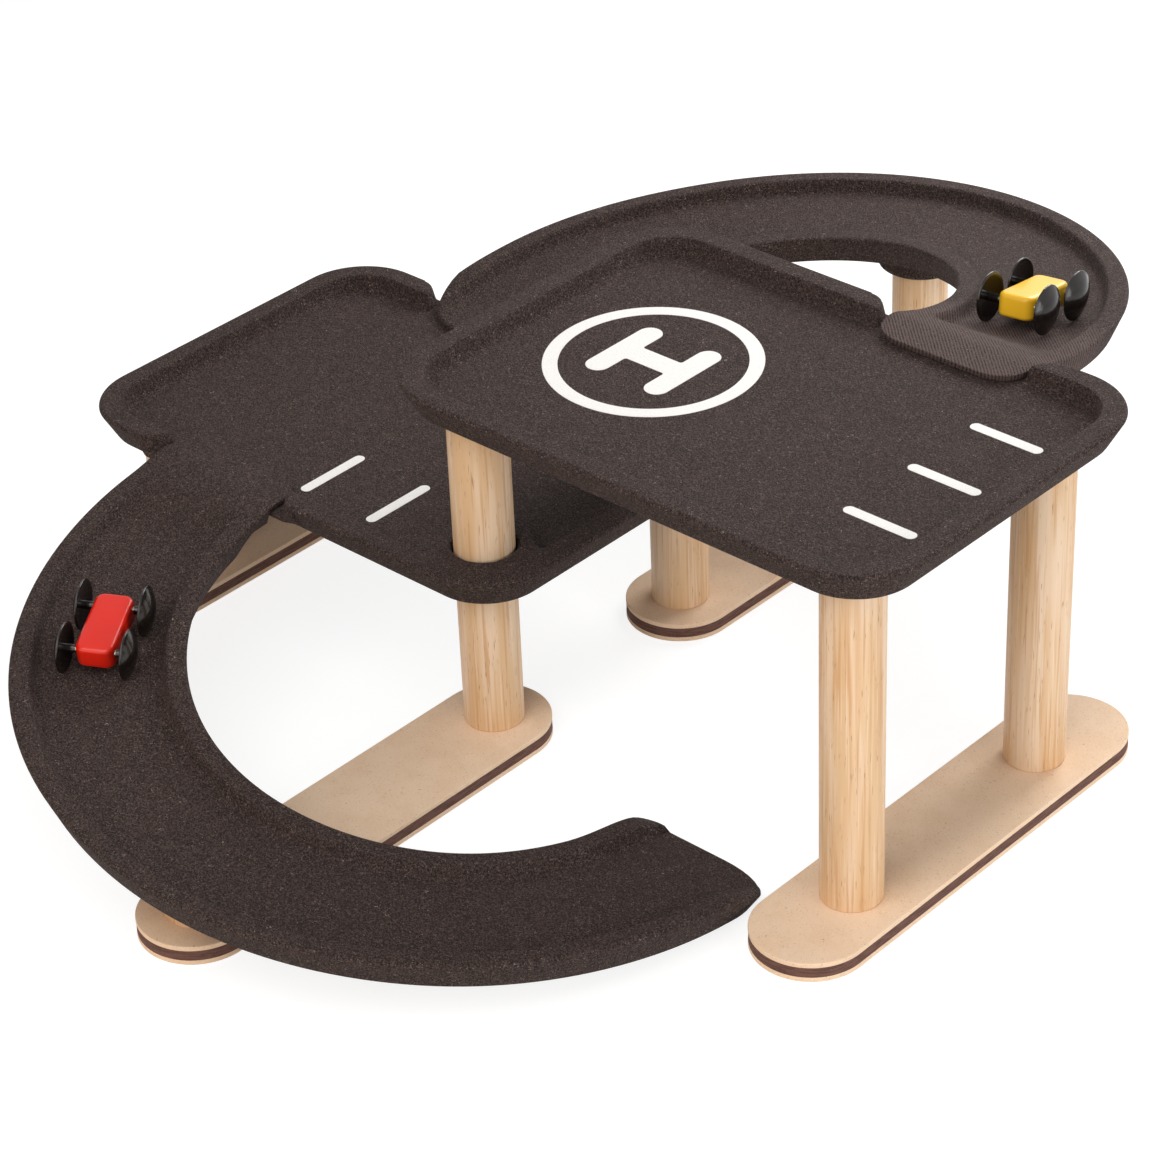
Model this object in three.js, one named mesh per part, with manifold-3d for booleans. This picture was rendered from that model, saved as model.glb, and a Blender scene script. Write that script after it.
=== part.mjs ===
// A toy parking garage: two round-cornered decks on wooden posts, one above the other and set apart,
// joined by two half-ring ramps, with a small car on each ramp. Millimetres, +Z up, base plates at z = 0.
// The frame stands on the upright line about which the decks, posts and plates repeat by a half turn.
import * as THREE from "three";
import { mergeVertices } from "three/addons/utils/BufferGeometryUtils.js";
import Module from "manifold-3d";

const wasm = await Module();
wasm.setup();

// Plan of the frame.
const POST_DIAMETER = 25; // every post
const POST_PITCH = 117.6; // front post to rear post of one column row
const PLATE_WIDTH = 47.6;

// Base plates, three plies each.
const BOTTOM_PLY = 2.1;
const CORE_PLY = 4.4;
const TOP_PLY = 2.2;

// Post ends.
const TENON_DIAMETER = 12;
const TENON_GAP = 0.2; // round a tenon in its hole
const TENON_END_GAP = 0.3; // below or above a tenon's end
const PLATE_TENON = 6.2; // down into a base plate
const DECK_TENON = 3.8; // up into a deck
const LINK_TENON = 10; // up into an upper post, above the lower deck's floor
const POST_EDGE = 0.6; // broken edge

// Decks.
const LOWER_DECK_HEIGHT = 78.7; // ground to the lower deck's underside
const LEVEL_PITCH = 79.5; // lower deck to upper deck
const DECK_THICKNESS = 13.7; // to the top of the rim
const DECK_END_MARGIN = 31; // corner posts' axes to the deck's short edge
const DECK_SIDE_MARGIN = 29.6; // and to its long edge
const DECK_CORNER = 31; // plan radius
const DECK_TAPER = 6.5; // how far the underside is drawn in
const DECK_RIM = 10; // width of the raised rim
const TRAY_DEPTH = 7.4; // rim to tray floor
const TRAY_WALL_RUN = 1.4;
const TRAY_FILLET = 2.2;
const EDGE_ROUND = 1.6;
const SEAT_BOSS_DIAMETER = 42.4; // raised round seat of an upper post, which meets the rims beside it
const SEAT_DIAMETER = 29; // its recess
const NOTCH_GAP = 1; // each side of a ramp's end in the rim
const NOTCH_OUTER_ROUND = 11;
const NOTCH_INNER_ROUND = 4;

// Ramps.
const RAMP_RADIUS = 128.5; // middle of the lane
const RAMP_MARGIN = 9.1; // a deck's long edge to where the half ring starts
const TOE_CLEARANCE = 0.4; // beside the front ramp's low end, to the right base plate
const RAMP_WIDTH = 70.6;
const RAMP_STRAIGHT = 29.5; // straight part at both ends of the half ring
const RAMP_THICKNESS = 13.7;
const RAMP_TAPER = 5;
const RAMP_RIM = 8.5;
const LANE_DEPTH = 6;
const LANE_WALL_RUN = 2;
const LANE_FILLET = 2.4;
const TONGUE_CORNER = 17; // reach of the round corners at the upper end
const TOE_INNER_CORNER = 11; // at the lower end, towards the half ring's middle
const TOE_OUTER_CORNER = 29; // at the lower end, on the other side
const TONGUE_THICKNESS = 3.2;
const TONGUE_GAP = 0.1; // between a ramp's end and the floor under it
const TONGUE_FLAT = 14; // where the level part ends, before the half ring starts
const LANE_START = 5; // where the lane starts to sink, before the half ring starts
const LANE_FULL = 17; // where it has reached its full depth, after that
const UNDERCUT = 12; // length over which the underside runs up to the deck
const TOE_LENGTH = 13; // where the rims come down at the low end
const TOE_INNER_HEIGHT = 5.6; // the rim's end towards the half ring's middle
const TOE_OUTER_HEIGHT = 3.8; // the rim's end on the other side
const TOE_LANE_HEIGHT = 3.3;

// Rim heights where the half rings start, over the floor of the deck above, and where they end.
const FRONT_START_RISE = 0.8;
const FRONT_END_RISE = 16.8; // over the ground
const REAR_START_RISE = -0.5;
const REAR_END_RISE = 11.2; // over the lower deck's floor

// Sockets under the ramps.
const SOCKET_BOSS_DIAMETER = 40;
const SOCKET_BOSS_TAPER = 1.2;
const SOCKET_BOSS_DROP = 11.4; // below the ramp's underside
const SOCKET_DEPTH = 8;
const SOCKET_GAP = 0.3;

// Cars.
const CAR_LENGTH = 33.5;
const CAR_WIDTH = 16;
const CAR_HEIGHT = 10.2;
const CAR_CORNER = 4;
const CAR_EDGE = 2;
const CAR_BELLY = 4.6; // lane to the underside
const CAR_LIFT = 0.6; // wheels above the sunk lane, which is twisted
const WHEEL_BASE = 25;
const WHEEL_DIAMETER = 21;
const WHEEL_RIM = 1; // thickness at the edge
const WHEEL_DOME = 2.7; // how far the outer face bulges
const WHEEL_DISH = 0.9; // how far the inner face is hollow
const HUB_DIAMETER = 5;
const HUB_LENGTH = 5; // beside the car to the wheel's disc
const HUB_GAP = 0.5;
const AXLE_DIAMETER = 2.6;
const AXLE_HOLE_GAP = 0.3;
const AXLE_SEAT_GAP = 0.1;
const AXLE_SEAT_DEPTH = 4.6;

// Where the cars stand: turned from the upper end of the half ring, in from the lane's middle, and askew.
const RED_CAR = { turnDeg: 39.85, inset: 3, yawDeg: -9.7 };
const YELLOW_CAR = { turnDeg: 20.05, inset: 0, yawDeg: 166.4 };

// Curve fineness, in segments.
const POST_SEGMENTS = 28;
const SMALL_SEGMENTS = 20;
const CORNER_SEGMENTS = 9;
const WHEEL_SEGMENTS = 28;
const RING_STATIONS = 46;
const END_STATIONS = 8;

// Bare ratios of the outlines.
const ROUND_SHARES = [
  [0, 1],
  [0.3, 0.3],
  [1, 0],
];
const DOME_SHARES = [
  [1, 0],
  [0.78, 0.45],
  [0.42, 0.86],
];
const WALL_FOOT_SHARE = 0.22; // of the depth, left above the floor at the foot of a wall
const TOE_INNER_SHARE = 0.76; // of the half ring's end height, left where the inner rim starts to come down
const TOE_OUTER_SHARE = 0.54; // and the outer one
const FRONT_FALL_SHARES = [1, 0.725, 0.462, 0.223, 0]; // of the half ring's fall that is left, by quarters
const REAR_FALL_SHARES = [1, 0.705, 0.454, 0.212, 0];

// Sizes that follow from those above.
const PLATE_THICKNESS = BOTTOM_PLY + CORE_PLY + TOP_PLY;
const POST_Y = POST_PITCH / 2;
const RAMP_HALF = RAMP_WIDTH / 2;
const COLUMN_PITCH = RAMP_RADIUS + RAMP_HALF + TOE_CLEARANCE + PLATE_WIDTH / 2; // row to row of posts
const DECK_X = COLUMN_PITCH / 2;
const LOWER_RIM = LOWER_DECK_HEIGHT + DECK_THICKNESS;
const LOWER_FLOOR = LOWER_RIM - TRAY_DEPTH;
const UPPER_DECK_HEIGHT = LOWER_DECK_HEIGHT + LEVEL_PITCH;
const UPPER_FLOOR = LOWER_FLOOR + LEVEL_PITCH;
const DECK_HALF_LENGTH = COLUMN_PITCH / 2 + DECK_END_MARGIN;
const DECK_HALF_WIDTH = POST_Y + DECK_SIDE_MARGIN;
const RING_Y = DECK_HALF_WIDTH + RAMP_MARGIN;
const RAMP_POST_Y = RING_Y + RAMP_RADIUS;
const PLATE_SPAN = RAMP_POST_Y - POST_Y; // centre to centre of a base plate's two round ends
const RING_LENGTH = Math.PI * RAMP_RADIUS;
const SLACK = POST_DIAMETER; // how far a cutting tool reaches past the piece

const FRONT_RAMP = {
  landing: 0,
  seat: LOWER_FLOOR,
  under: LOWER_DECK_HEIGHT,
  start: LOWER_FLOOR + FRONT_START_RISE,
  end: FRONT_END_RISE,
  shares: FRONT_FALL_SHARES,
};
const REAR_RAMP = {
  landing: LOWER_FLOOR,
  seat: UPPER_FLOOR,
  under: UPPER_DECK_HEIGHT,
  start: UPPER_FLOOR + REAR_START_RISE,
  end: LOWER_FLOOR + REAR_END_RISE,
  shares: REAR_FALL_SHARES,
};

const BOARD = new THREE.MeshStandardMaterial({ color: "#483f3d", roughness: 0.85, metalness: 0 });
const TIMBER = new THREE.MeshStandardMaterial({ color: "#dcb992", roughness: 0.6, metalness: 0 });
const PLY = new THREE.MeshStandardMaterial({ color: "#e9cdae", roughness: 0.7, metalness: 0 });
const CORE = new THREE.MeshStandardMaterial({ color: "#6b4a40", roughness: 0.85, metalness: 0 });
const RED = new THREE.MeshStandardMaterial({ color: "#e2341f", roughness: 0.25, metalness: 0 });
const YELLOW = new THREE.MeshStandardMaterial({ color: "#f0be2a", roughness: 0.25, metalness: 0 });
const BLACK = new THREE.MeshStandardMaterial({ color: "#151312", roughness: 0.2, metalness: 0 });
const STEEL = new THREE.MeshStandardMaterial({ color: "#8c8c8c", roughness: 0.35, metalness: 1 });

// A geometry as a solid that can be joined and cut.
function solid(geometry) {
  const bare = new THREE.BufferGeometry().setAttribute(
    "position",
    (geometry.index ? geometry.toNonIndexed() : geometry).getAttribute("position"),
  );
  const merged = mergeVertices(bare);
  return new wasm.Manifold(
    new wasm.Mesh({
      numProp: 3,
      vertProperties: new Float32Array(merged.getAttribute("position").array),
      triVerts: new Uint32Array(merged.index.array),
    }),
  );
}

// A solid's surface as a geometry.
function surface(body) {
  const mesh = body.getMesh();
  const corners = new Float32Array(mesh.numVert * 3);
  for (let i = 0; i < mesh.numVert; i++) {
    corners.set(mesh.vertProperties.subarray(i * mesh.numProp, i * mesh.numProp + 3), i * 3);
  }
  const geometry = new THREE.BufferGeometry();
  geometry.setAttribute("position", new THREE.BufferAttribute(corners, 3));
  geometry.setIndex(new THREE.BufferAttribute(new Uint32Array(mesh.triVerts), 1));
  return geometry.toNonIndexed();
}

// A closed surface through rings of equal point count, from the lowest cap to the last one.
function loft(rings) {
  const count = rings[0].length;
  const corners = [];
  const middle = (ring) => ring.reduce((sum, p) => sum.add(p), new THREE.Vector3()).divideScalar(count);
  const face = (a, b, c) => corners.push(...a, ...b, ...c);
  const first = middle(rings[0]);
  const last = middle(rings.at(-1));
  for (let j = 0; j < count; j++) {
    const k = (j + 1) % count;
    face(first, rings[0][k], rings[0][j]);
    face(last, rings.at(-1)[j], rings.at(-1)[k]);
    for (let i = 0; i + 1 < rings.length; i++) {
      face(rings[i][j], rings[i][k], rings[i + 1][k]);
      face(rings[i][j], rings[i + 1][k], rings[i + 1][j]);
    }
  }
  return new THREE.BufferGeometry().setAttribute("position", new THREE.Float32BufferAttribute(corners, 3));
}

// A round-cornered rectangle, drawn in by an inset, at one height.
function roundedRing(halfLength, halfWidth, radius, inset, height) {
  const points = [];
  for (let corner = 0; corner < 4; corner++) {
    const x = (corner === 0 || corner === 3 ? 1 : -1) * (halfLength - radius);
    const y = (corner < 2 ? 1 : -1) * (halfWidth - radius);
    for (let i = 0; i <= CORNER_SEGMENTS; i++) {
      const turn = ((corner + i / CORNER_SEGMENTS) * Math.PI) / 2;
      const reach = radius - inset;
      points.push(new THREE.Vector3(x + reach * Math.cos(turn), y + reach * Math.sin(turn), height));
    }
  }
  return points;
}

// A turned piece about +Z from [radius, height] pairs that start and end on the axis.
function turned(profile, segments) {
  const points = profile.map(([radius, height]) => new THREE.Vector2(radius, height));
  return new THREE.LatheGeometry(points, segments).rotateX(Math.PI / 2);
}

// A plain round bar along +Z.
function bar(radius, low, high, segments) {
  return turned(
    [
      [0, low],
      [radius, low],
      [radius, high],
      [0, high],
    ],
    segments,
  );
}

// A flat outline pushed up between two heights.
function slab(shape, low, high, segments) {
  const settings = { depth: high - low, bevelEnabled: false, curveSegments: segments };
  return new THREE.ExtrudeGeometry(shape, settings).translate(0, 0, low);
}

// The half turn about the frame's upright line, without rounding.
function halfTurn(geometry) {
  const copy = geometry.clone();
  const places = copy.getAttribute("position");
  for (let i = 0; i < places.count; i++) {
    places.setXYZ(i, -places.getX(i), -places.getY(i), places.getZ(i));
  }
  return copy;
}

// A smooth falling or rising line through [place, height] pairs, never past a pair's height.
function smoothLine(pairs) {
  const rise = (i) => (pairs[i + 1][1] - pairs[i][1]) / (pairs[i + 1][0] - pairs[i][0]);
  const slopes = pairs.map((pair, i) => {
    const before = i > 0 ? rise(i - 1) : rise(0);
    const after = i + 1 < pairs.length ? rise(i) : before;
    return before * after > 0 ? (2 * before * after) / (before + after) : 0;
  });
  return (place) => {
    let i = 0;
    while (i + 2 < pairs.length && place > pairs[i + 1][0]) i++;
    const span = pairs[i + 1][0] - pairs[i][0];
    const t = Math.min(1, Math.max(0, (place - pairs[i][0]) / span));
    return (
      pairs[i][1] * (1 + 2 * t) * (1 - t) * (1 - t) +
      pairs[i + 1][1] * t * t * (3 - 2 * t) +
      span * t * (1 - t) * (slopes[i] * (1 - t) - slopes[i + 1] * t)
    );
  };
}

// Outline of a base plate about the middle of its span, which runs along Y.
function plateShape(tenonHoles) {
  const radius = PLATE_WIDTH / 2;
  const half = PLATE_SPAN / 2;
  const shape = new THREE.Shape();
  shape.absarc(0, half, radius, 0, Math.PI, false);
  shape.absarc(0, -half, radius, Math.PI, 2 * Math.PI, false);
  shape.closePath();
  for (const y of tenonHoles) {
    const hole = new THREE.Path();
    hole.absarc(0, y, TENON_DIAMETER / 2 + TENON_GAP, 0, 2 * Math.PI, true);
    shape.holes.push(hole);
  }
  return shape;
}

// The three plies of a base plate, each a [name, geometry, material] entry.
function basePlate(name, x, y, tenonHoles) {
  const whole = plateShape([]);
  const bored = plateShape(tenonHoles);
  const coreTop = BOTTOM_PLY + CORE_PLY;
  return [
    [`${name}_bottom_ply`, slab(whole, 0, BOTTOM_PLY, CORNER_SEGMENTS).translate(x, y, 0), PLY],
    [`${name}_core_ply`, slab(bored, BOTTOM_PLY, coreTop, CORNER_SEGMENTS).translate(x, y, 0), CORE],
    [`${name}_top_ply`, slab(bored, coreTop, PLATE_THICKNESS, CORNER_SEGMENTS).translate(x, y, 0), PLY],
  ];
}

// A post standing on a base plate, with a tenon of its own length on top, or none.
function standingPost(top, tenon) {
  const radius = POST_DIAMETER / 2;
  const pin = TENON_DIAMETER / 2;
  const foot = PLATE_THICKNESS;
  const profile = [
    [0, foot - PLATE_TENON],
    [pin, foot - PLATE_TENON],
    [pin, foot],
    [radius - POST_EDGE, foot],
    [radius, foot + POST_EDGE],
    [radius, top - POST_EDGE],
    [radius - POST_EDGE, top],
  ];
  if (tenon > 0) {
    profile.push([pin, top], [pin, top + tenon]);
  }
  profile.push([0, top + tenon]);
  return turned(profile, POST_SEGMENTS);
}

// A post between the decks: bored below for the lower post's tenon, with a tenon on top.
function upperPost() {
  const radius = POST_DIAMETER / 2;
  const pin = TENON_DIAMETER / 2;
  const bore = pin + TENON_GAP;
  const roof = LOWER_FLOOR + LINK_TENON + TENON_END_GAP;
  const top = UPPER_DECK_HEIGHT;
  return turned(
    [
      [0, roof],
      [bore, roof],
      [bore, LOWER_FLOOR],
      [radius - POST_EDGE, LOWER_FLOOR],
      [radius, LOWER_FLOOR + POST_EDGE],
      [radius, top - POST_EDGE],
      [radius - POST_EDGE, top],
      [pin, top],
      [pin, top + DECK_TENON],
      [0, top + DECK_TENON],
    ],
    POST_SEGMENTS,
  );
}

// A deck's tray about its own middle, with its underside at z = 0.
function tray() {
  const ring = (inset, height) =>
    roundedRing(DECK_HALF_LENGTH, DECK_HALF_WIDTH, DECK_CORNER, inset, height);
  const floor = DECK_THICKNESS - TRAY_DEPTH;
  const wallFoot = DECK_RIM + TRAY_WALL_RUN;
  const half = EDGE_ROUND / 2;
  const rings = [ring(DECK_TAPER + half, 0), ring(DECK_TAPER - half, half)];
  for (const [across, down] of ROUND_SHARES) {
    rings.push(ring(EDGE_ROUND * across, DECK_THICKNESS - EDGE_ROUND * down));
  }
  rings.push(
    ring(DECK_RIM - half, DECK_THICKNESS),
    ring(DECK_RIM, DECK_THICKNESS - half),
    ring(wallFoot, floor + TRAY_DEPTH * WALL_FOOT_SHARE),
    ring(wallFoot + TRAY_FILLET, floor),
  );
  return solid(loft(rings));
}

// The tool that opens a deck's rim for a ramp's end, at the deck's front edge, above its floor.
function notchTool(middle) {
  const half = RAMP_HALF + NOTCH_GAP;
  const outer = -DECK_HALF_WIDTH;
  const inner = outer + DECK_RIM + TRAY_WALL_RUN + TRAY_FILLET;
  const shape = new THREE.Shape();
  shape.moveTo(-half - NOTCH_OUTER_ROUND, outer - SLACK);
  shape.lineTo(-half - NOTCH_OUTER_ROUND, outer);
  shape.quadraticCurveTo(-half, outer, -half, outer + NOTCH_OUTER_ROUND * (1 - WALL_FOOT_SHARE));
  shape.lineTo(-half, inner - NOTCH_INNER_ROUND);
  shape.quadraticCurveTo(-half, inner, -half - NOTCH_INNER_ROUND, inner);
  shape.lineTo(half + NOTCH_INNER_ROUND, inner);
  shape.quadraticCurveTo(half, inner, half, inner - NOTCH_INNER_ROUND);
  shape.lineTo(half, outer + NOTCH_OUTER_ROUND * (1 - WALL_FOOT_SHARE));
  shape.quadraticCurveTo(half, outer, half + NOTCH_OUTER_ROUND, outer);
  shape.lineTo(half + NOTCH_OUTER_ROUND, outer - SLACK);
  shape.closePath();
  const floor = DECK_THICKNESS - TRAY_DEPTH;
  return slab(shape, floor, floor + SLACK, CORNER_SEGMENTS).translate(middle, 0, 0);
}

// A hole for a post's tenon in a deck's underside.
function tenonHole(x, y, depth) {
  const radius = TENON_DIAMETER / 2 + TENON_GAP;
  return solid(bar(radius, -SLACK, depth, SMALL_SEGMENTS).translate(x, y, 0));
}

// The lower deck: notched for both ramps, with a raised round seat over each middle post.
function lowerDeck() {
  let deck = tray();
  const floor = DECK_THICKNESS - TRAY_DEPTH;
  for (const y of [-POST_Y, POST_Y]) {
    const boss = bar(SEAT_BOSS_DIAMETER / 2, floor / 2, DECK_THICKNESS, POST_SEGMENTS);
    deck = deck.add(solid(boss.translate(DECK_X, y, 0)));
    const seat = bar(SEAT_DIAMETER / 2, floor, floor + SLACK, POST_SEGMENTS);
    deck = deck.subtract(solid(seat.translate(DECK_X, y, 0)));
    deck = deck.subtract(tenonHole(DECK_X, y, SLACK));
    deck = deck.subtract(tenonHole(-DECK_X, y, DECK_TENON + TENON_END_GAP));
  }
  const notch = notchTool(DECK_X - RAMP_RADIUS);
  const rearNotch = halfTurn(notchTool(RAMP_RADIUS - DECK_X));
  deck = deck.subtract(solid(notch)).subtract(solid(rearNotch));
  return surface(deck).translate(-DECK_X, 0, LOWER_DECK_HEIGHT);
}

// The upper deck: notched for the rear ramp, with four blind tenon holes below.
function upperDeck() {
  let deck = tray();
  for (const x of [-DECK_X, DECK_X]) {
    for (const y of [-POST_Y, POST_Y]) {
      deck = deck.subtract(tenonHole(x, y, DECK_TENON + TENON_END_GAP));
    }
  }
  deck = deck.subtract(solid(halfTurn(notchTool(DECK_X - RAMP_RADIUS))));
  return surface(deck).translate(DECK_X, 0, UPPER_DECK_HEIGHT);
}

// A ramp's rim heights at the quarters of its half ring.
function rimHeights({ start, end, shares }) {
  return shares.map((share) => end + (start - end) * share);
}

// Heights along a ramp, by distance from the upper end of its half ring.
function rampLines(measures) {
  const { landing, seat, under } = measures;
  const heights = rimHeights(measures);
  const top = seat + TONGUE_GAP + TONGUE_THICKNESS;
  const end = RING_LENGTH + RAMP_STRAIGHT;
  const last = heights.at(-1);
  const rimTo = (share, height) =>
    smoothLine([
      [-RAMP_STRAIGHT, top],
      [-TONGUE_FLAT, top],
      ...heights.map((height, i) => [(RING_LENGTH * i) / (heights.length - 1), height]),
      [end - TOE_LENGTH, landing + (last - landing) * share],
      [end, landing + height],
    ]);
  const rim = rimTo(TOE_INNER_SHARE, TOE_INNER_HEIGHT);
  const outerRim = rimTo(TOE_OUTER_SHARE, TOE_OUTER_HEIGHT);
  const sink = smoothLine([
    [-LANE_START, 0],
    [LANE_FULL, LANE_DEPTH],
    [RING_LENGTH, LANE_DEPTH],
  ]);
  const run = (place) => Math.max(0, place - RING_LENGTH) / RAMP_STRAIGHT;
  const laneEnd = landing + TONGUE_GAP * Math.sign(landing) + TOE_LANE_HEIGHT;
  const lane = (place) =>
    place > RING_LENGTH
      ? last - LANE_DEPTH + (laneEnd - last + LANE_DEPTH) * run(place)
      : rim(place) - sink(place);
  const drop = (place) => {
    const t = Math.min(1, Math.max(0, place / UNDERCUT));
    return rim(place) - RAMP_THICKNESS * t - (rim(place) - under) * (1 - t);
  };
  const bottom = (place) => Math.max(landing, drop(place));
  return { rim, outerRim, lane, bottom };
}

// The half ring's outline in plan: a point, and the way out from the ring's middle there.
function rampPlan(place) {
  const turn = Math.min(Math.PI, Math.max(0, place / RAMP_RADIUS));
  const away = new THREE.Vector3(-Math.cos(turn), -Math.sin(turn), 0);
  const past = Math.max(0, -place, place - RING_LENGTH);
  const point = away.clone().multiplyScalar(RAMP_RADIUS);
  return { point: point.add(new THREE.Vector3(0, past - RING_Y, 0)), away };
}

// Distances along a ramp where its cross-section is drawn.
function rampStations() {
  const places = [];
  for (let i = 0; i < END_STATIONS; i++) {
    places.push(-RAMP_STRAIGHT + (RAMP_STRAIGHT * i) / END_STATIONS);
  }
  for (let i = 0; i < RING_STATIONS; i++) {
    places.push((RING_LENGTH * i) / RING_STATIONS);
  }
  for (let i = 0; i <= END_STATIONS; i++) {
    places.push(RING_LENGTH + (RAMP_STRAIGHT * i) / END_STATIONS);
  }
  return places;
}

// One cross-section of a ramp as [distance out from the lane's middle, height] pairs.
function rampSection(lines, place) {
  const lane = lines.lane(place);
  const bottom = lines.bottom(place);
  const wallFoot = RAMP_HALF - RAMP_RIM - LANE_WALL_RUN;
  const half = (rim) => {
    const taper = (RAMP_TAPER * (rim - bottom)) / RAMP_THICKNESS;
    const round = Math.min(EDGE_ROUND, (rim - bottom) / 2);
    return [
      [RAMP_HALF - taper, bottom],
      ...ROUND_SHARES.map(([across, down]) => [RAMP_HALF - round * across, rim - round * down]),
      [RAMP_HALF - RAMP_RIM, rim],
      [wallFoot, lane + (rim - lane) * WALL_FOOT_SHARE],
      [wallFoot - LANE_FILLET, lane],
    ];
  };
  const inner = half(lines.rim(place)).map(([out, height]) => [-out, height]);
  return [...inner, ...half(lines.outerRim(place)).reverse()];
}

// A ramp's band, swept along the straight, the half ring and the straight.
function rampBand(lines) {
  const rings = rampStations().map((place) => {
    const { point, away } = rampPlan(place);
    return rampSection(lines, place).map(([out, height]) =>
      point.clone().addScaledVector(away, out).setZ(height),
    );
  });
  return solid(loft(rings));
}

// The tool that rounds a ramp's end corner in plan, at one side of the lane.
function cornerTool(x, side, reach) {
  const edge = x + side * RAMP_HALF;
  const end = RAMP_STRAIGHT - RING_Y;
  const shape = new THREE.Shape();
  shape.moveTo(edge - side * reach, end);
  shape.quadraticCurveTo(edge, end, edge, end - reach);
  shape.lineTo(edge + side * SLACK, end - reach);
  shape.lineTo(edge + side * SLACK, end + SLACK);
  shape.lineTo(edge - side * reach, end + SLACK);
  shape.closePath();
  return solid(slab(shape, -SLACK, UPPER_FLOOR + SLACK, CORNER_SEGMENTS));
}

// The tool that keeps a ramp clear of a deck: its outline, up to the deck's floor.
function deckTool(middle, low, floor) {
  const gap = -NOTCH_GAP / 2;
  const ring = (height) =>
    roundedRing(DECK_HALF_LENGTH, DECK_HALF_WIDTH, DECK_CORNER, gap, height).map((p) => p.setX(p.x + middle));
  return solid(loft([ring(low), ring(floor + TONGUE_GAP)]));
}

// A whole ramp in the front ramp's place: band, end corners, and the socket of its post.
function ramp(measures) {
  const lines = rampLines(measures);
  let band = rampBand(lines);
  band = band.subtract(cornerTool(-RAMP_RADIUS, -1, TONGUE_CORNER));
  band = band.subtract(cornerTool(-RAMP_RADIUS, 1, TONGUE_CORNER));
  band = band.subtract(cornerTool(RAMP_RADIUS, -1, TOE_INNER_CORNER));
  band = band.subtract(cornerTool(RAMP_RADIUS, 1, TOE_OUTER_CORNER));
  band = band.subtract(deckTool(-DECK_X, measures.seat - SLACK, measures.seat));
  if (measures.landing > 0) {
    band = band.subtract(deckTool(DECK_X, measures.landing - SLACK, measures.landing));
  }
  const wide = SOCKET_BOSS_DIAMETER / 2;
  const middle = RING_LENGTH / 2;
  const foot = lines.rim(middle) - RAMP_THICKNESS - SOCKET_BOSS_DROP;
  const head = (lines.lane(middle + wide) + lines.rim(middle - wide) - RAMP_THICKNESS) / 2;
  const boss = turned(
    [
      [0, foot],
      [wide - SOCKET_BOSS_TAPER, foot],
      [wide, head],
      [0, head],
    ],
    POST_SEGMENTS,
  );
  const socketRadius = POST_DIAMETER / 2 + SOCKET_GAP;
  const socket = bar(socketRadius, foot - SLACK, foot + SOCKET_DEPTH, POST_SEGMENTS);
  band = band.add(solid(boss.translate(0, -RAMP_POST_Y, 0)));
  return surface(band.subtract(solid(socket.translate(0, -RAMP_POST_Y, 0))));
}

// The height of a ramp post's top, inside its socket.
function rampPostTop(measures) {
  const half = rampLines(measures).rim(RING_LENGTH / 2);
  return half - RAMP_THICKNESS - SOCKET_BOSS_DROP + SOCKET_DEPTH - TENON_END_GAP;
}

// The car's block, on the lane at z = 0, its length along X, bored across for both axles.
function carBody() {
  const ring = (inset, height) => roundedRing(CAR_LENGTH / 2, CAR_WIDTH / 2, CAR_CORNER, inset, height);
  const top = CAR_BELLY + CAR_HEIGHT;
  const rings = [];
  for (const [across, up] of ROUND_SHARES.slice().reverse()) {
    rings.push(ring(CAR_EDGE * across, CAR_BELLY + CAR_EDGE * up));
  }
  for (const [across, down] of ROUND_SHARES) {
    rings.push(ring(CAR_EDGE * across, top - CAR_EDGE * down));
  }
  let body = solid(loft(rings));
  const reach = CAR_WIDTH;
  for (const x of [-WHEEL_BASE / 2, WHEEL_BASE / 2]) {
    const radius = AXLE_DIAMETER / 2 + AXLE_HOLE_GAP;
    const bore = bar(radius, -reach, reach, SMALL_SEGMENTS).rotateX(Math.PI / 2);
    body = body.subtract(solid(bore.translate(x, 0, WHEEL_DIAMETER / 2)));
  }
  return surface(body);
}

// The left wheel about the axle line through the origin, its axle seat open towards the car.
function wheel() {
  const hubFace = CAR_WIDTH / 2 + HUB_GAP;
  const disc = hubFace + HUB_LENGTH;
  const radius = WHEEL_DIAMETER / 2;
  const hub = HUB_DIAMETER / 2;
  const seat = AXLE_DIAMETER / 2 + AXLE_SEAT_GAP;
  const profile = [
    [0, hubFace + AXLE_SEAT_DEPTH],
    [seat, hubFace + AXLE_SEAT_DEPTH],
    [seat, hubFace],
    [hub, hubFace],
    [hub, disc],
    [radius - WHEEL_RIM / 2, disc - WHEEL_DISH],
    [radius, disc - WHEEL_DISH + WHEEL_RIM / 2],
    [radius, disc - WHEEL_DISH + WHEEL_RIM],
  ];
  for (const [out, bulge] of DOME_SHARES) {
    profile.push([(radius - WHEEL_RIM / 2) * out, disc - WHEEL_DISH / 2 + WHEEL_RIM + WHEEL_DOME * bulge]);
  }
  profile.push([0, disc - WHEEL_DISH / 2 + WHEEL_RIM + WHEEL_DOME]);
  return turned(profile, WHEEL_SEGMENTS);
}

// An axle about the origin, along Z, ending in both wheels' seats.
function axle() {
  const reach = CAR_WIDTH / 2 + HUB_GAP + AXLE_SEAT_DEPTH - AXLE_SEAT_GAP;
  return bar(AXLE_DIAMETER / 2, -reach, reach, SMALL_SEGMENTS);
}

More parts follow.
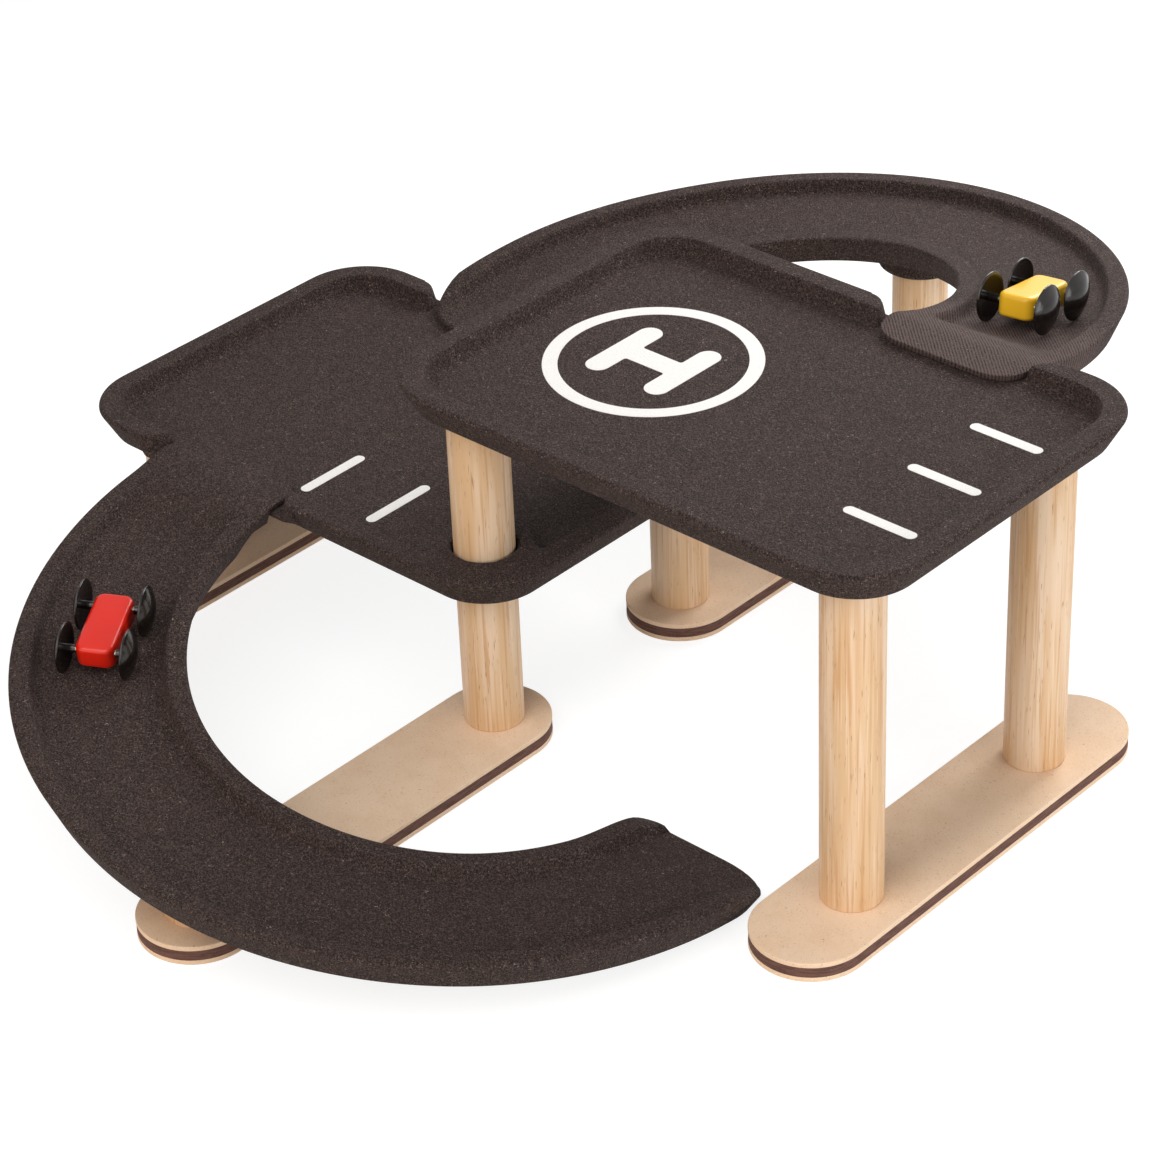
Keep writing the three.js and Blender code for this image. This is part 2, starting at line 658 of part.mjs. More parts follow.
// The placement of a car on a ramp in the front ramp's place. With no yaw it heads straight down.
function carPlacement(lines, { turnDeg, inset, yawDeg }) {
  const place = THREE.MathUtils.degToRad(turnDeg) * RAMP_RADIUS;
  const { point, away } = rampPlan(place);
  const step = WHEEL_BASE / 2;
  const fall = (lines.lane(place + step) - lines.lane(place - step)) / WHEEL_BASE;
  const ahead = new THREE.Vector3(-away.y, away.x, 0).setZ(fall).normalize();
  const up = new THREE.Vector3().crossVectors(away, ahead).normalize();
  const left = new THREE.Vector3().crossVectors(up, ahead);
  const middle = (lines.lane(place + step) + lines.lane(place - step)) / 2;
  point.setZ(middle).addScaledVector(up, CAR_LIFT).addScaledVector(away, -inset);
  const askew = new THREE.Matrix4().makeRotationZ(THREE.MathUtils.degToRad(yawDeg));
  return new THREE.Matrix4().makeBasis(ahead, left, up).setPosition(point).multiply(askew);
}

// A car's parts, each a [name, geometry, material] entry.
function car(name, paint, placement) {
  const parts = [[`${name}_body`, carBody(), paint]];
  for (const [end, x] of [
    ["front", WHEEL_BASE / 2],
    ["rear", -WHEEL_BASE / 2],
  ]) {
    const stand = (geometry) => geometry.rotateX(-Math.PI / 2).translate(x, 0, WHEEL_DIAMETER / 2);
    parts.push(
      [`${name}_${end}_axle`, stand(axle()), STEEL],
      [`${name}_${end}_left_wheel`, stand(wheel()), BLACK],
      [`${name}_${end}_right_wheel`, stand(wheel().rotateX(Math.PI)), BLACK],
    );
  }
  for (const [, geometry] of parts) geometry.applyMatrix4(placement);
  return parts;
}

// Every base plate: one under each row of posts, two of them reaching out to a ramp post.
function basePlates() {
  const middle = (POST_Y + RAMP_POST_Y) / 2;
  const half = PLATE_SPAN / 2;
  return [
    ...basePlate("front_base", 0, -middle, [half, -half]),
    ...basePlate("rear_base", 0, middle, [half, -half]),
    ...basePlate("left_base", -COLUMN_PITCH, 0, [POST_Y, -POST_Y]),
    ...basePlate("right_base", COLUMN_PITCH, 0, [POST_Y, -POST_Y]),
  ];
}

// Every post, each a [name, geometry, material] entry.
function posts() {
  const link = LOWER_FLOOR - LOWER_DECK_HEIGHT + LINK_TENON;
  const frontRampTop = rampPostTop(FRONT_RAMP);
  const rearRampTop = rampPostTop(REAR_RAMP);
  const at = (geometry, x, y) => geometry.translate(x, y, 0);
  return [
    ["front_middle_post_lower", at(standingPost(LOWER_DECK_HEIGHT, link), 0, -POST_Y), TIMBER],
    ["front_middle_post_upper", at(upperPost(), 0, -POST_Y), TIMBER],
    ["rear_middle_post_lower", at(standingPost(LOWER_DECK_HEIGHT, link), 0, POST_Y), TIMBER],
    ["rear_middle_post_upper", at(upperPost(), 0, POST_Y), TIMBER],
    ["front_left_post", at(standingPost(LOWER_DECK_HEIGHT, DECK_TENON), -COLUMN_PITCH, -POST_Y), TIMBER],
    ["rear_left_post", at(standingPost(LOWER_DECK_HEIGHT, DECK_TENON), -COLUMN_PITCH, POST_Y), TIMBER],
    ["front_right_post", at(standingPost(UPPER_DECK_HEIGHT, DECK_TENON), COLUMN_PITCH, -POST_Y), TIMBER],
    ["rear_right_post", at(standingPost(UPPER_DECK_HEIGHT, DECK_TENON), COLUMN_PITCH, POST_Y), TIMBER],
    ["front_ramp_post", at(standingPost(frontRampTop, 0), 0, -RAMP_POST_Y), TIMBER],
    ["rear_ramp_post", at(standingPost(rearRampTop, 0), 0, RAMP_POST_Y), TIMBER],
  ];
}

// Both decks and both ramps.
function boards() {
  return [
    ["lower_deck", lowerDeck(), BOARD],
    ["upper_deck", upperDeck(), BOARD],
    ["front_ramp", ramp(FRONT_RAMP), BOARD],
    ["rear_ramp", halfTurn(ramp(REAR_RAMP)), BOARD],
  ];
}

// Both cars: the red one heads down the front ramp, the yellow one up the rear ramp.
function cars() {
  const red = carPlacement(rampLines(FRONT_RAMP), RED_CAR);
  const yellow = carPlacement(rampLines(REAR_RAMP), YELLOW_CAR);
  yellow.premultiply(new THREE.Matrix4().makeRotationZ(Math.PI));
  return [...car("red_car", RED, red), ...car("yellow_car", YELLOW, yellow)];
}

const garage = new THREE.Group();
for (const [name, geometry, material] of [...basePlates(), ...posts(), ...boards(), ...cars()]) {
  const mesh = new THREE.Mesh(geometry, material);
  mesh.name = name;
  garage.add(mesh);
}

export default garage;
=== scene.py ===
"""The looks of a toy parking garage: two decks on posts, two half-ring ramps and two small cars.

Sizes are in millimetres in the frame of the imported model, and become metres where a mesh is made.
"""

import logging
import math
from collections.abc import Callable, Mapping, Sequence
from dataclasses import dataclass, field
from enum import Enum
from typing import Any, Self

import bmesh
import bpy
from mathutils import Matrix, Vector


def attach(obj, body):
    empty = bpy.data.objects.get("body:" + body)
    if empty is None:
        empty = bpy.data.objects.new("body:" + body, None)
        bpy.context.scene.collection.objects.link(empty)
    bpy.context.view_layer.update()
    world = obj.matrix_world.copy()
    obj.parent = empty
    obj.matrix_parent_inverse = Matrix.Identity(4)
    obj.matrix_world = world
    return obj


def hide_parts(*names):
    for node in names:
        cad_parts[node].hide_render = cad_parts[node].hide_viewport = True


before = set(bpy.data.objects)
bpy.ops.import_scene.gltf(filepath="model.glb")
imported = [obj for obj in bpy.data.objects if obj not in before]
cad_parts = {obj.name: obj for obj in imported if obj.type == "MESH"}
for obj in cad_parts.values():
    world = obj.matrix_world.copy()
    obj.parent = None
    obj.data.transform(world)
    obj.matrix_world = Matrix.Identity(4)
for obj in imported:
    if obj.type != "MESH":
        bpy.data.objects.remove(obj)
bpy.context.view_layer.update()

log = logging.getLogger("garage")

MM = 0.001
ROOT_BODY = "frame"

Point = tuple[float, float, float]
Flat = tuple[float, float]
Colour = tuple[float, float, float, float]

# Sizes that several sub-assemblies share.
POST_DIAMETER = 25.0
POST_PITCH = 117.6
COLUMN_PITCH = 188.0
PLATE_SPAN = 167.2
PLATE_THICKNESS = 8.7
LOWER_DECK_HEIGHT = 78.7
LEVEL_PITCH = 79.5
BOARD_THICKNESS = 13.7
TRAY_DEPTH = 7.4
DECK_X = COLUMN_PITCH / 2
POST_Y = POST_PITCH / 2
RAMP_POST_Y = POST_Y + PLATE_SPAN
# A ramp's post stands in a hole in a boss under the ramp, with a gap above the post.
BOSS_DROP = 11.4
SOCKET_DEPTH = 8.0
SOCKET_GAP = 0.3
# The heights of the ramps' inner rims at the quarters of the half ring, from the upper end.
FRONT_RAMP_HEIGHTS = (85.8, 66.8, 48.7, 32.2, 16.8)
REAR_RAMP_HEIGHTS = (164.0, 144.0, 127.0, 110.6, 96.2)
LOWER_FLOOR = LOWER_DECK_HEIGHT + BOARD_THICKNESS - TRAY_DEPTH
UPPER_DECK_HEIGHT = LOWER_DECK_HEIGHT + LEVEL_PITCH
UPPER_FLOOR = LOWER_FLOOR + LEVEL_PITCH
LAMP_AIM = (0.0, 0.0, 90.0)
# Points closer than this become one, and edges shorter than the second go.
WELD = 1e-4
SLIVER = 1e-5


def linear(colour: str) -> Colour:
    """Turns an sRGB hex colour into the linear one that the shaders work in.

    Args:
        colour: six hex digits after a hash sign.

    Returns:
        Linear red, green and blue, and a full alpha.
    """
    knee, slope, offset, power = 0.04045, 12.92, 0.055, 2.4
    shares = [int(colour[i : i + 2], 16) / 255 for i in (1, 3, 5)]
    made = [s / slope if s <= knee else ((s + offset) / (1 + offset)) ** power for s in shares]
    return (made[0], made[1], made[2], 1.0)


def add_node(
    tree: bpy.types.NodeTree, kind: str, settings: Mapping[str, Any], inputs: Mapping[str | int, Any]
) -> bpy.types.Node:
    """Adds a node with its settings, and fills its sockets with values or links.

    Args:
        tree: the node tree to add to.
        kind: the node's type name.
        settings: the node's own settings by name.
        inputs: a socket, a node (its first output) or a plain value for each input.

    Returns:
        The new node.
    """
    node = tree.nodes.new(kind)
    for name, value in settings.items():
        setattr(node, name, value)
    for key, value in inputs.items():
        source = value.outputs[0] if isinstance(value, bpy.types.Node) else value
        if isinstance(source, bpy.types.NodeSocket):
            tree.links.new(source, node.inputs[key])
        else:
            node.inputs[key].default_value = source
    return node


# The colour mixing node has one socket of each kind under the same name.
MIX_FACTOR, MIX_A, MIX_B, MIX_RESULT = 0, 6, 7, 2
# How far apart the patterns of one finish are read, in their own units, so that they don't line up.
PATTERN_STEP = 17.3


@dataclass(frozen=True)
class Tone:
    """A colour that shows where a cloudy pattern is dense.

    The pattern's grain has a size in millimetres along each axis. The colour starts to show at the
    density `low` and has its full share `most` at `high`. `lift` is its weight in the relief.
    """

    colour: str
    size: Point
    low: float
    high: float
    most: float = 1.0
    twist: float = 0.0
    detail: float = 2.0
    lift: float = 0.0


@dataclass(frozen=True)
class Finish:
    """A surface with its ground colour, the tones in it, its shine and a fine relief."""

    title: str = ""
    ground: str = "#808080"
    tones: tuple[Tone, ...] = ()
    roughness: float = 0.5
    worn: float = 0.05
    specular: float = 0.5
    coat: float = 0.0
    coat_roughness: float = 0.1
    metallic: float = 0.0
    relief_mm: float = 0.1

    def rework(self, tree: bpy.types.NodeTree, place: Any, colour: Any, height: Any) -> tuple[Any, Any]:
        """Lets a finish of its own kind change the colour and the relief, here by nothing."""
        return colour, height

    def material(self) -> bpy.types.Material:
        """Makes the material, once for each title.

        Returns:
            The material.
        """
        known = bpy.data.materials.get(self.title)
        if known is not None:
            return known
        made = bpy.data.materials.new(self.title)
        made.use_nodes = True
        tree = made.node_tree
        shader = tree.nodes["Principled BSDF"]
        place = add_node(tree, "ShaderNodeTexCoord", {}, {}).outputs["Object"]
        colour, height = linear(self.ground), 0.0
        clouds = []
        for i, tone in enumerate(self.tones):
            scale = tuple(1 / MM / size for size in tone.size)
            apart = even(PATTERN_STEP * i)
            spot = {"Vector": place, "Location": apart, "Scale": scale}
            where = add_node(tree, "ShaderNodeMapping", {}, spot)
            grain = {"Vector": where, "Scale": 1.0, "Detail": tone.detail, "Distortion": tone.twist}
            cloud = add_node(tree, "ShaderNodeTexNoise", {}, grain)
            dense = {"Value": cloud, "From Min": tone.low, "From Max": tone.high, "To Max": tone.most}
            shown = add_node(tree, "ShaderNodeMapRange", {"interpolation_type": "SMOOTHSTEP"}, dense)
            blend = {MIX_FACTOR: shown, MIX_A: colour, MIX_B: linear(tone.colour)}
            colour = add_node(tree, "ShaderNodeMix", {"data_type": "RGBA"}, blend).outputs[MIX_RESULT]
            clouds.append(cloud)
            if tone.lift:
                raised = {0: shown, 1: tone.lift, 2: height}
                height = add_node(tree, "ShaderNodeMath", {"operation": "MULTIPLY_ADD"}, raised)
        colour, height = self.rework(tree, place, colour, height)
        bumps = {"Height": height, "Strength": 1.0, "Distance": self.relief_mm * MM}
        relief = add_node(tree, "ShaderNodeBump", {}, bumps)
        smooth, rough = self.roughness - self.worn, self.roughness + self.worn
        rubbed = {"Value": clouds[0], "To Min": smooth, "To Max": rough}
        wear = add_node(tree, "ShaderNodeMapRange", {}, rubbed)
        tree.links.new(colour, shader.inputs["Base Color"])
        tree.links.new(relief.outputs[0], shader.inputs["Normal"])
        tree.links.new(wear.outputs[0], shader.inputs["Roughness"])
        plain = {"Metallic": self.metallic, "Coat Weight": self.coat, "Coat Roughness": self.coat_roughness}
        if not self.metallic:
            plain["Specular IOR Level"] = self.specular
        for socket, value in plain.items():
            shader.inputs[socket].default_value = value
        return made


def even(size: float) -> Point:
    """Gives a grain that is the same along every axis."""
    return (size, size, size)


@dataclass(frozen=True)
class FibreBoard(Finish):
    """Wood-fibre board dyed through and hot-pressed on a woven wire screen.

    The eye sees a matt brownish black that is speckled with paler grit, a few loose ochre and
    reddish fibres, and in places the ribs that the screen left.
    """

    title: str = "pressed_fibre_board"
    ground: str = "#342926"
    tones: tuple[Tone, ...] = (
        Tone("#2A211F", even(7.0), 0.42, 0.66, 0.55),
        Tone("#251D1B", even(2.4), 0.5, 0.64, 0.6),
        Tone("#15100F", even(0.85), 0.5, 0.59, 0.9, lift=-0.8),
        Tone("#52433F", even(0.75), 0.51, 0.6, 0.8, detail=1.0, lift=1.0),
        Tone("#75635C", even(0.9), 0.6, 0.66, 0.9, twist=1.6, lift=0.6),
        Tone("#755633", even(0.8), 0.69, 0.76, 0.6, twist=0.8),
        Tone("#69382E", even(0.85), 0.7, 0.77, 0.5, twist=0.8),
        Tone("#B09D92", even(1.2), 0.68, 0.73, 0.9, twist=2.2),
    )
    roughness: float = 0.86
    specular: float = 0.2
    relief_mm: float = 0.22
    # The screen's wires lie 1.25 mm apart, and cross the ramps' upper ends at a slant.
    rib_mm: float = 1.25
    rib_turn: float = 45.5
    rib_lift: float = 0.7
    rib_bend: float = 1.6
    # The ribs' pale colour: the screen's weave, and painted sheen where it brightens the zone below.
    rib_weave_and_sheen: str = "#64544F"
    bite: float = 0.06
    bite_core: float = 0.6
    # Middle and reach of a zone of painted sheen, where the pale ribs show strongly and brighten the board.
    sheen_and_bite_zone: tuple[Point, float] | None = None

    def rework(self, tree: bpy.types.NodeTree, place: Any, colour: Any, height: Any) -> tuple[Any, Any]:
        """Adds the screen's ribs in a pale colour. They are strongest in a round zone, where the paleness is
        painted sheen as well as the weave.

        Args:
            tree: the material's node tree.
            place: the socket with the place on the object, in metres.
            colour: the colour so far.
            height: the relief so far.

        Returns:
            The colour and the relief.
        """
        turn = {"Vector": place, "Rotation": (0, 0, -math.radians(self.rib_turn)), "Scale": even(1 / MM)}
        along = add_node(tree, "ShaderNodeMapping", {}, turn)
        # The wave texture repeats 20 times along a full turn at scale 1.
        weave = {"Vector": along, "Scale": math.tau / 20 / self.rib_mm, "Distortion": self.rib_bend}
        weave |= {"Detail": 2.0, "Detail Scale": 1.2}
        ribs = add_node(tree, "ShaderNodeTexWave", {"bands_direction": "X"}, weave).outputs["Fac"]
        rib_and_sheen_share: Any = self.bite
        if self.sheen_and_bite_zone is not None:
            middle, reach = self.sheen_and_bite_zone
            ends = {0: place, 1: tuple(c * MM for c in middle)}
            away = add_node(tree, "ShaderNodeVectorMath", {"operation": "DISTANCE"}, ends).outputs["Value"]
            fading = {"Value": away, "From Min": self.bite_core * reach * MM, "From Max": reach * MM}
            fading |= {"To Min": 1.0, "To Max": 0.0}
            near = add_node(tree, "ShaderNodeMapRange", {"interpolation_type": "SMOOTHSTEP"}, fading)
            rib_and_sheen_share = add_node(tree, "ShaderNodeMath", {"operation": "MAXIMUM"}, {0: near, 1: rib_and_sheen_share})
        pressed = add_node(tree, "ShaderNodeMath", {"operation": "MULTIPLY"}, {0: ribs, 1: rib_and_sheen_share})
        # Painted sheen: the pale rib colour brightens the board, most in the zone round its middle.
        blend = {MIX_FACTOR: pressed, MIX_A: colour, MIX_B: linear(self.rib_weave_and_sheen)}
        ribs_and_sheen_colour = add_node(tree, "ShaderNodeMix", {"data_type": "RGBA"}, blend)
        raised = {0: pressed, 1: self.rib_lift, 2: height}
        relief = add_node(tree, "ShaderNodeMath", {"operation": "MULTIPLY_ADD"}, raised)
        return ribs_and_sheen_colour.outputs[MIX_RESULT], relief


@dataclass(frozen=True)
class RibbedBoard(FibreBoard):
    """The same board on the ramps, with paler ribs at the rear ramp's upper end: the screen's weave with
    painted sheen over it.
    """

    title: str = "ribbed_fibre_board"
    # Painted sheen round the rear ramp's upper end, shown as strong pale ribs.
    sheen_and_bite_zone: tuple[Point, float] | None = ((134.0, 96.0, UPPER_FLOOR), 60.0)


@dataclass(frozen=True)
class Rubberwood(Finish):
    """Rubberwood dowel, turned and sanded, with a thin satin lacquer.

    The eye sees straw-coloured wood with broad pale bands, fine streaks and short open pores that
    all run along the dowel.
    """

    title: str = "lacquered_rubberwood"
    ground: str = "#DEB98F"
    tones: tuple[Tone, ...] = (
        Tone("#EACFB2", (10.0, 10.0, 120.0), 0.4, 0.64, 0.9),
        Tone("#D3A87A", (5.0, 5.0, 150.0), 0.52, 0.7, 0.7, detail=3.0),
        Tone("#CB9A6A", (1.4, 1.4, 60.0), 0.5, 0.7, 0.7, detail=2.0),
        Tone("#F1DAC0", (1.1, 1.1, 45.0), 0.55, 0.75, 0.5, detail=1.0),
        Tone("#A0754C", (0.45, 0.45, 7.0), 0.66, 0.76, 0.7, detail=1.0, lift=-1.0),
    )
    roughness: float = 0.46
    worn: float = 0.1
    specular: float = 0.4
    relief_mm: float = 0.08


@dataclass(frozen=True)
class SawdustBoard(Finish):
    """Board pressed from pale rubberwood sawdust, sanded and left plain.

    The eye sees an even cream face with scattered short brown flecks and a faint tooth.
    """

    title: str = "sanded_sawdust_board"
    ground: str = "#F0D2B4"
    tones: tuple[Tone, ...] = (
        Tone("#E8C6A4", even(14.0), 0.4, 0.68, 0.5),
        Tone("#F5E0C6", even(0.8), 0.58, 0.72, 0.5, detail=1.0, lift=0.5),
        Tone("#C9A078", even(1.1), 0.62, 0.72, 0.6, twist=1.8),
        Tone("#8E5F38", even(1.2), 0.67, 0.73, 0.8, twist=2.6, lift=-0.8),
    )
    roughness: float = 0.72
    specular: float = 0.3
    relief_mm: float = 0.1


@dataclass(frozen=True)
class DyedCore(Finish):
    """Dyed fibre board sawn and sanded, seen only at its edge.

    The eye sees a matt dark brown stripe with fine lengthwise scoring.
    """

    title: str = "sawn_dyed_fibre_board"
    ground: str = "#6E4F45"
    tones: tuple[Tone, ...] = (
        Tone("#553A33", (7.0, 7.0, 0.7), 0.42, 0.62, 0.8, detail=3.0, lift=-1.0),
        Tone("#876A5E", even(0.7), 0.62, 0.74, 0.6),
    )
    roughness: float = 0.8
    specular: float = 0.25
    relief_mm: float = 0.12


class Paint(Enum):
    """The lacquers on the cars, by sRGB colour."""

    RED = "#DB2412"
    YELLOW = "#F8C02A"


@dataclass(frozen=True)
class GlossLacquer(Finish):
    """Spray lacquer on wood, built up in coats and left glossy.

    The eye sees a clean, even colour under a clear coat whose surface is very slightly wavy.
    """

    roughness: float = 0.3
    worn: float = 0.03
    specular: float = 0.3
    coat: float = 0.2
    coat_roughness: float = 0.08
    relief_mm: float = 0.012

    @classmethod
    def of(cls, paint: Paint) -> Self:
        """Mixes the lacquer in one paint."""
        peel = Tone(paint.value, even(1.1), 0.3, 0.7, lift=1.0)
        return cls(title=f"gloss_{paint.name.lower()}_lacquer", ground=paint.value, tones=(peel,))


@dataclass(frozen=True)
class PrintInk(Finish):
    """Thick screen-print ink on the pressed board.

    The eye sees a flat white with the board's grit just showing through its surface.
    """

    title: str = "white_screen_print_ink"
    ground: str = "#F1EEEA"
    tones: tuple[Tone, ...] = (Tone("#EAE7E3", even(0.8), 0.45, 0.7, lift=1.0),)
    roughness: float = 0.6
    specular: float = 0.3
    relief_mm: float = 0.05


@dataclass(frozen=True)
class TurnedGloss(Finish):
    """Wheel turned on a lathe and dipped in black gloss.

    The eye sees near-black glass-like discs with a soft shine on the side of the light.
    """

    title: str = "dipped_black_gloss"
    ground: str = "#120E0C"
    tones: tuple[Tone, ...] = (Tone("#1B1613", even(1.6), 0.35, 0.65, lift=1.0),)
    roughness: float = 0.14
    worn: float = 0.03
    specular: float = 0.42
    relief_mm: float = 0.012


@dataclass(frozen=True)
class DrawnSteel(Finish):
    """Bright drawn steel wire, cut to length.

    The eye sees a shiny grey pin with a slightly uneven gloss, where it shows beside the hubs.
    """

    title: str = "bright_drawn_steel"
    ground: str = "#A9A7A3"
    tones: tuple[Tone, ...] = (Tone("#96938F", even(0.5), 0.4, 0.7, lift=1.0),)
    roughness: float = 0.3
    worn: float = 0.08
    metallic: float = 1.0
    relief_mm: float = 0.01


def fillet(
    corners: Sequence[Flat], radii: Sequence[float], steps: int = 6, closed: bool = False
) -> list[Flat]:
    """Rounds the corners of a line of straight stretches with arcs.

    Args:
        corners: the line's corners.
        radii: one radius for each corner; the ends of an open line keep theirs at 0.
        steps: arc segments for each corner.
        closed: whether the last corner joins the first.

    Returns:
        The rounded line's points.
    """
    count = len(corners)
    points: list[Flat] = []
    for i, (corner, radius) in enumerate(zip(corners, radii, strict=True)):
        at_end = not closed and i in (0, count - 1)
        if radius <= 0 or at_end:
            points.append(corner)
            continue
        here = Vector(corner)
        before = (Vector(corners[i - 1]) - here).normalized()
        after = (Vector(corners[(i + 1) % count]) - here).normalized()
        half = before.angle(after) / 2
        reach = radius / math.tan(half)
        middle = here + (before + after).normalized() * (radius / math.sin(half))
        start = here + before * reach - middle
        end = here + after * reach - middle
        sweep = start.angle_signed(end)
        for k in range(steps + 1):
            turn = -sweep * k / steps
            c, s = math.cos(turn), math.sin(turn)
            points.append((middle.x + start.x * c - start.y * s, middle.y + start.x * s + start.y * c))
    return points


def along_line(line: Sequence[Flat], place: float) -> float:
    """Reads the height of a line of points that run to the right.

    Args:
        line: the points, with rising first coordinates.
        place: where to read.

    Returns:
        The height there, that of the nearest end outside the line.
    """
    if place <= line[0][0]:
        return line[0][1]
    for (x0, y0), (x1, y1) in zip(line, line[1:]):
        if place <= x1:
            return y0 if x1 <= x0 else y0 + (y1 - y0) * (place - x0) / (x1 - x0)
    return line[-1][1]


def smooth_line(pairs: Sequence[Flat]) -> Callable[[float], float]:
    """Draws a smooth line through places and heights, which never passes a height.

    Args:
        pairs: [place, height] pairs.

    Returns:
        The height as a function of the place.
    """
    rises = [(h1 - h0) / (p1 - p0) for (p0, h0), (p1, h1) in zip(pairs, pairs[1:])]
    slopes = []
    for i in range(len(pairs)):
        before = rises[max(0, i - 1)]
        after = rises[i] if i < len(rises) else before
        slopes.append(2 * before * after / (before + after) if before * after > 0 else 0.0)

    def read(place: float) -> float:
        """Reads the line.

        Args:
            place: where to read.

        Returns:
            The height there.
        """
        i = 0
        while i + 2 < len(pairs) and place > pairs[i + 1][0]:
            i += 1
        (start, low), (end, high) = pairs[i], pairs[i + 1]
        span = end - start
        t = min(1.0, max(0.0, (place - start) / span))
        blend = low * (1 + 2 * t) * (1 - t) ** 2 + high * t * t * (3 - 2 * t)
        return blend + span * t * (1 - t) * (slopes[i] * (1 - t) - slopes[i + 1] * t)

    return read


def smooth_least(one: float, other: float, blend: float) -> float:
    """Takes the lesser of two values, or a little less where they are closer than the blend."""
    pull = max(0.0, blend - abs(one - other)) / blend
    return min(one, other) - pull * pull * blend / 4


def spaced(stops: Sequence[Flat]) -> list[float]:
    """Divides stretches into even steps.

    Args:
        stops: [place, longest step on the way to the next place] pairs.

    Returns:
        The places of all the steps, ends included.
    """
    places = [stops[0][0]]
    for (start, step), (end, _) in zip(stops, stops[1:]):
        count = max(1, math.ceil((end - start) / step - 1e-9))
        places += [start + (end - start) * (i + 1) / count for i in range(count)]
    return places


def quarter_round(steps: int) -> list[Flat]:
    """Draws a quarter of a unit circle as [in from the side, down from the top] pairs, top first."""
    turns = [math.pi / 2 * i / steps for i in range(steps + 1)]
    return [(1 - math.sin(turn), 1 - math.cos(turn)) for turn in turns]


@dataclass
class Skin:
    """The vertices and faces of one closed piece, gathered in millimetres."""

    points: list[Point] = field(default_factory=list)
    faces: list[tuple[int, ...]] = field(default_factory=list)

    def row(self, points: Sequence[Point]) -> list[int]:
        """Adds points, and gives their numbers."""
        self.points.extend(points)
        return list(range(len(self.points) - len(points), len(self.points)))

    def bridge(self, rows: Sequence[Sequence[int]], closed: bool = True) -> None:
        """Joins rows of equal length with faces.

        Args:
            rows: the rows' point numbers.
            closed: whether the rows run round.
        """
        count = len(rows[0])
        for one, other in zip(rows, rows[1:]):
            for i in range(count if closed else count - 1):
                k = (i + 1) % count
                self.faces.append((one[i], one[k], other[k], other[i]))

    def fan(self, ring: Sequence[int]) -> None:
        """Closes a level ring with triangles to its middle.

        Args:
            ring: the ring's point numbers.
        """
        count = len(ring)
        middle = tuple(sum(self.points[i][axis] for i in ring) / count for axis in range(3))
        (centre,) = self.row([middle])
        for i, here in enumerate(ring):
            self.faces.append((here, ring[(i + 1) % count], centre))

    def piece(
        self, name: str, finish: Finish, place: Matrix | None = None, sharp_degrees: float = 38.0
    ) -> bpy.types.Object:
        """Makes the Blender object.

        Args:
            name: the piece's name.
            finish: its finish.
            place: how it is turned and moved, with lengths in millimetres.
            sharp_degrees: edges that turn further than this stay crisp.

        Returns:
            The object, at the origin, with its place in its mesh.
        """
        mesh = bpy.data.meshes.new(name)
        mesh.from_pydata(self.points, [], self.faces)
        work = bmesh.new()
        work.from_mesh(mesh)
        bmesh.ops.remove_doubles(work, verts=work.verts, dist=WELD)
        bmesh.ops.dissolve_degenerate(work, edges=work.edges, dist=SLIVER)
        bmesh.ops.recalc_face_normals(work, faces=work.faces)
        placing = Matrix.Scale(MM, 4) @ (place or Matrix.Identity(4))
        bmesh.ops.transform(work, matrix=placing, verts=work.verts)
        for face in work.faces:
            face.smooth = True
        limit = math.radians(sharp_degrees)
        for edge in work.edges:
            edge.smooth = len(edge.link_faces) == 2 and edge.calc_face_angle(0.0) < limit
        work.to_mesh(mesh)
        work.free()
        made = bpy.data.objects.new(name, mesh)
        bpy.context.scene.collection.objects.link(made)
        mesh.materials.append(finish.material())
        log.info("%s: %d faces", name, len(mesh.polygons))
        return made


def stacked(rings: Sequence[Sequence[Point]]) -> Skin:
    """Joins rings of points into a closed skin.

    Args:
        rings: rings of equal length; the first and the last get level caps.

    Returns:
        The skin.
    """
    skin = Skin()
    rows = [skin.row(ring) for ring in rings]
    skin.bridge(rows)
    skin.fan(rows[0])
    skin.fan(rows[-1])
    return skin


def circle(radius: float, height: float, segments: int) -> list[Point]:
    """Draws a level circle about the Z axis."""
    turns = [math.tau * i / segments for i in range(segments)]
    return [(radius * math.cos(a), radius * math.sin(a), height) for a in turns]


def turned(profile: Sequence[Flat], segments: int = 72) -> Skin:
    """Turns a profile of [radius, height] pairs about the Z axis."""
    return stacked([circle(radius, height, segments) for radius, height in profile])


def stand(piece: bpy.types.Object, body: str, node: str | None = None, slot: str | None = None) -> None:
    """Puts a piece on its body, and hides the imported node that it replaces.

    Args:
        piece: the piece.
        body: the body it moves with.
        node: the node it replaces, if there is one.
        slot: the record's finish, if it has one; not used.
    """
    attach(piece, body)
    if node is not None:
        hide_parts(node)


@dataclass(frozen=True)
class Oblong:
    """A round-cornered rectangle about the origin."""

    half_x: float
    half_y: float
    radius: float
    steps: int = 12

    def drawn_in(self, inset: float) -> list[Flat]:
        """Draws the outline.

        Args:
            inset: how far it is drawn in, corners included.

        Returns:
            Its points, anticlockwise.
        """
        points = []
        reach = self.radius - inset
        for corner in range(4):
            x = (1 if corner in (0, 3) else -1) * (self.half_x - self.radius)
            y = (1 if corner < 2 else -1) * (self.half_y - self.radius)
            for i in range(self.steps + 1):
                turn = (corner + i / self.steps) * math.pi / 2
                points.append((x + reach * math.cos(turn), y + reach * math.sin(turn)))
        return points

    def slab(self, profile: Sequence[Flat]) -> Skin:
        """Stacks the outline at [inset, height] pairs into a closed slab."""
        return stacked([[(x, y, height) for x, y in self.drawn_in(inset)] for inset, height in profile])


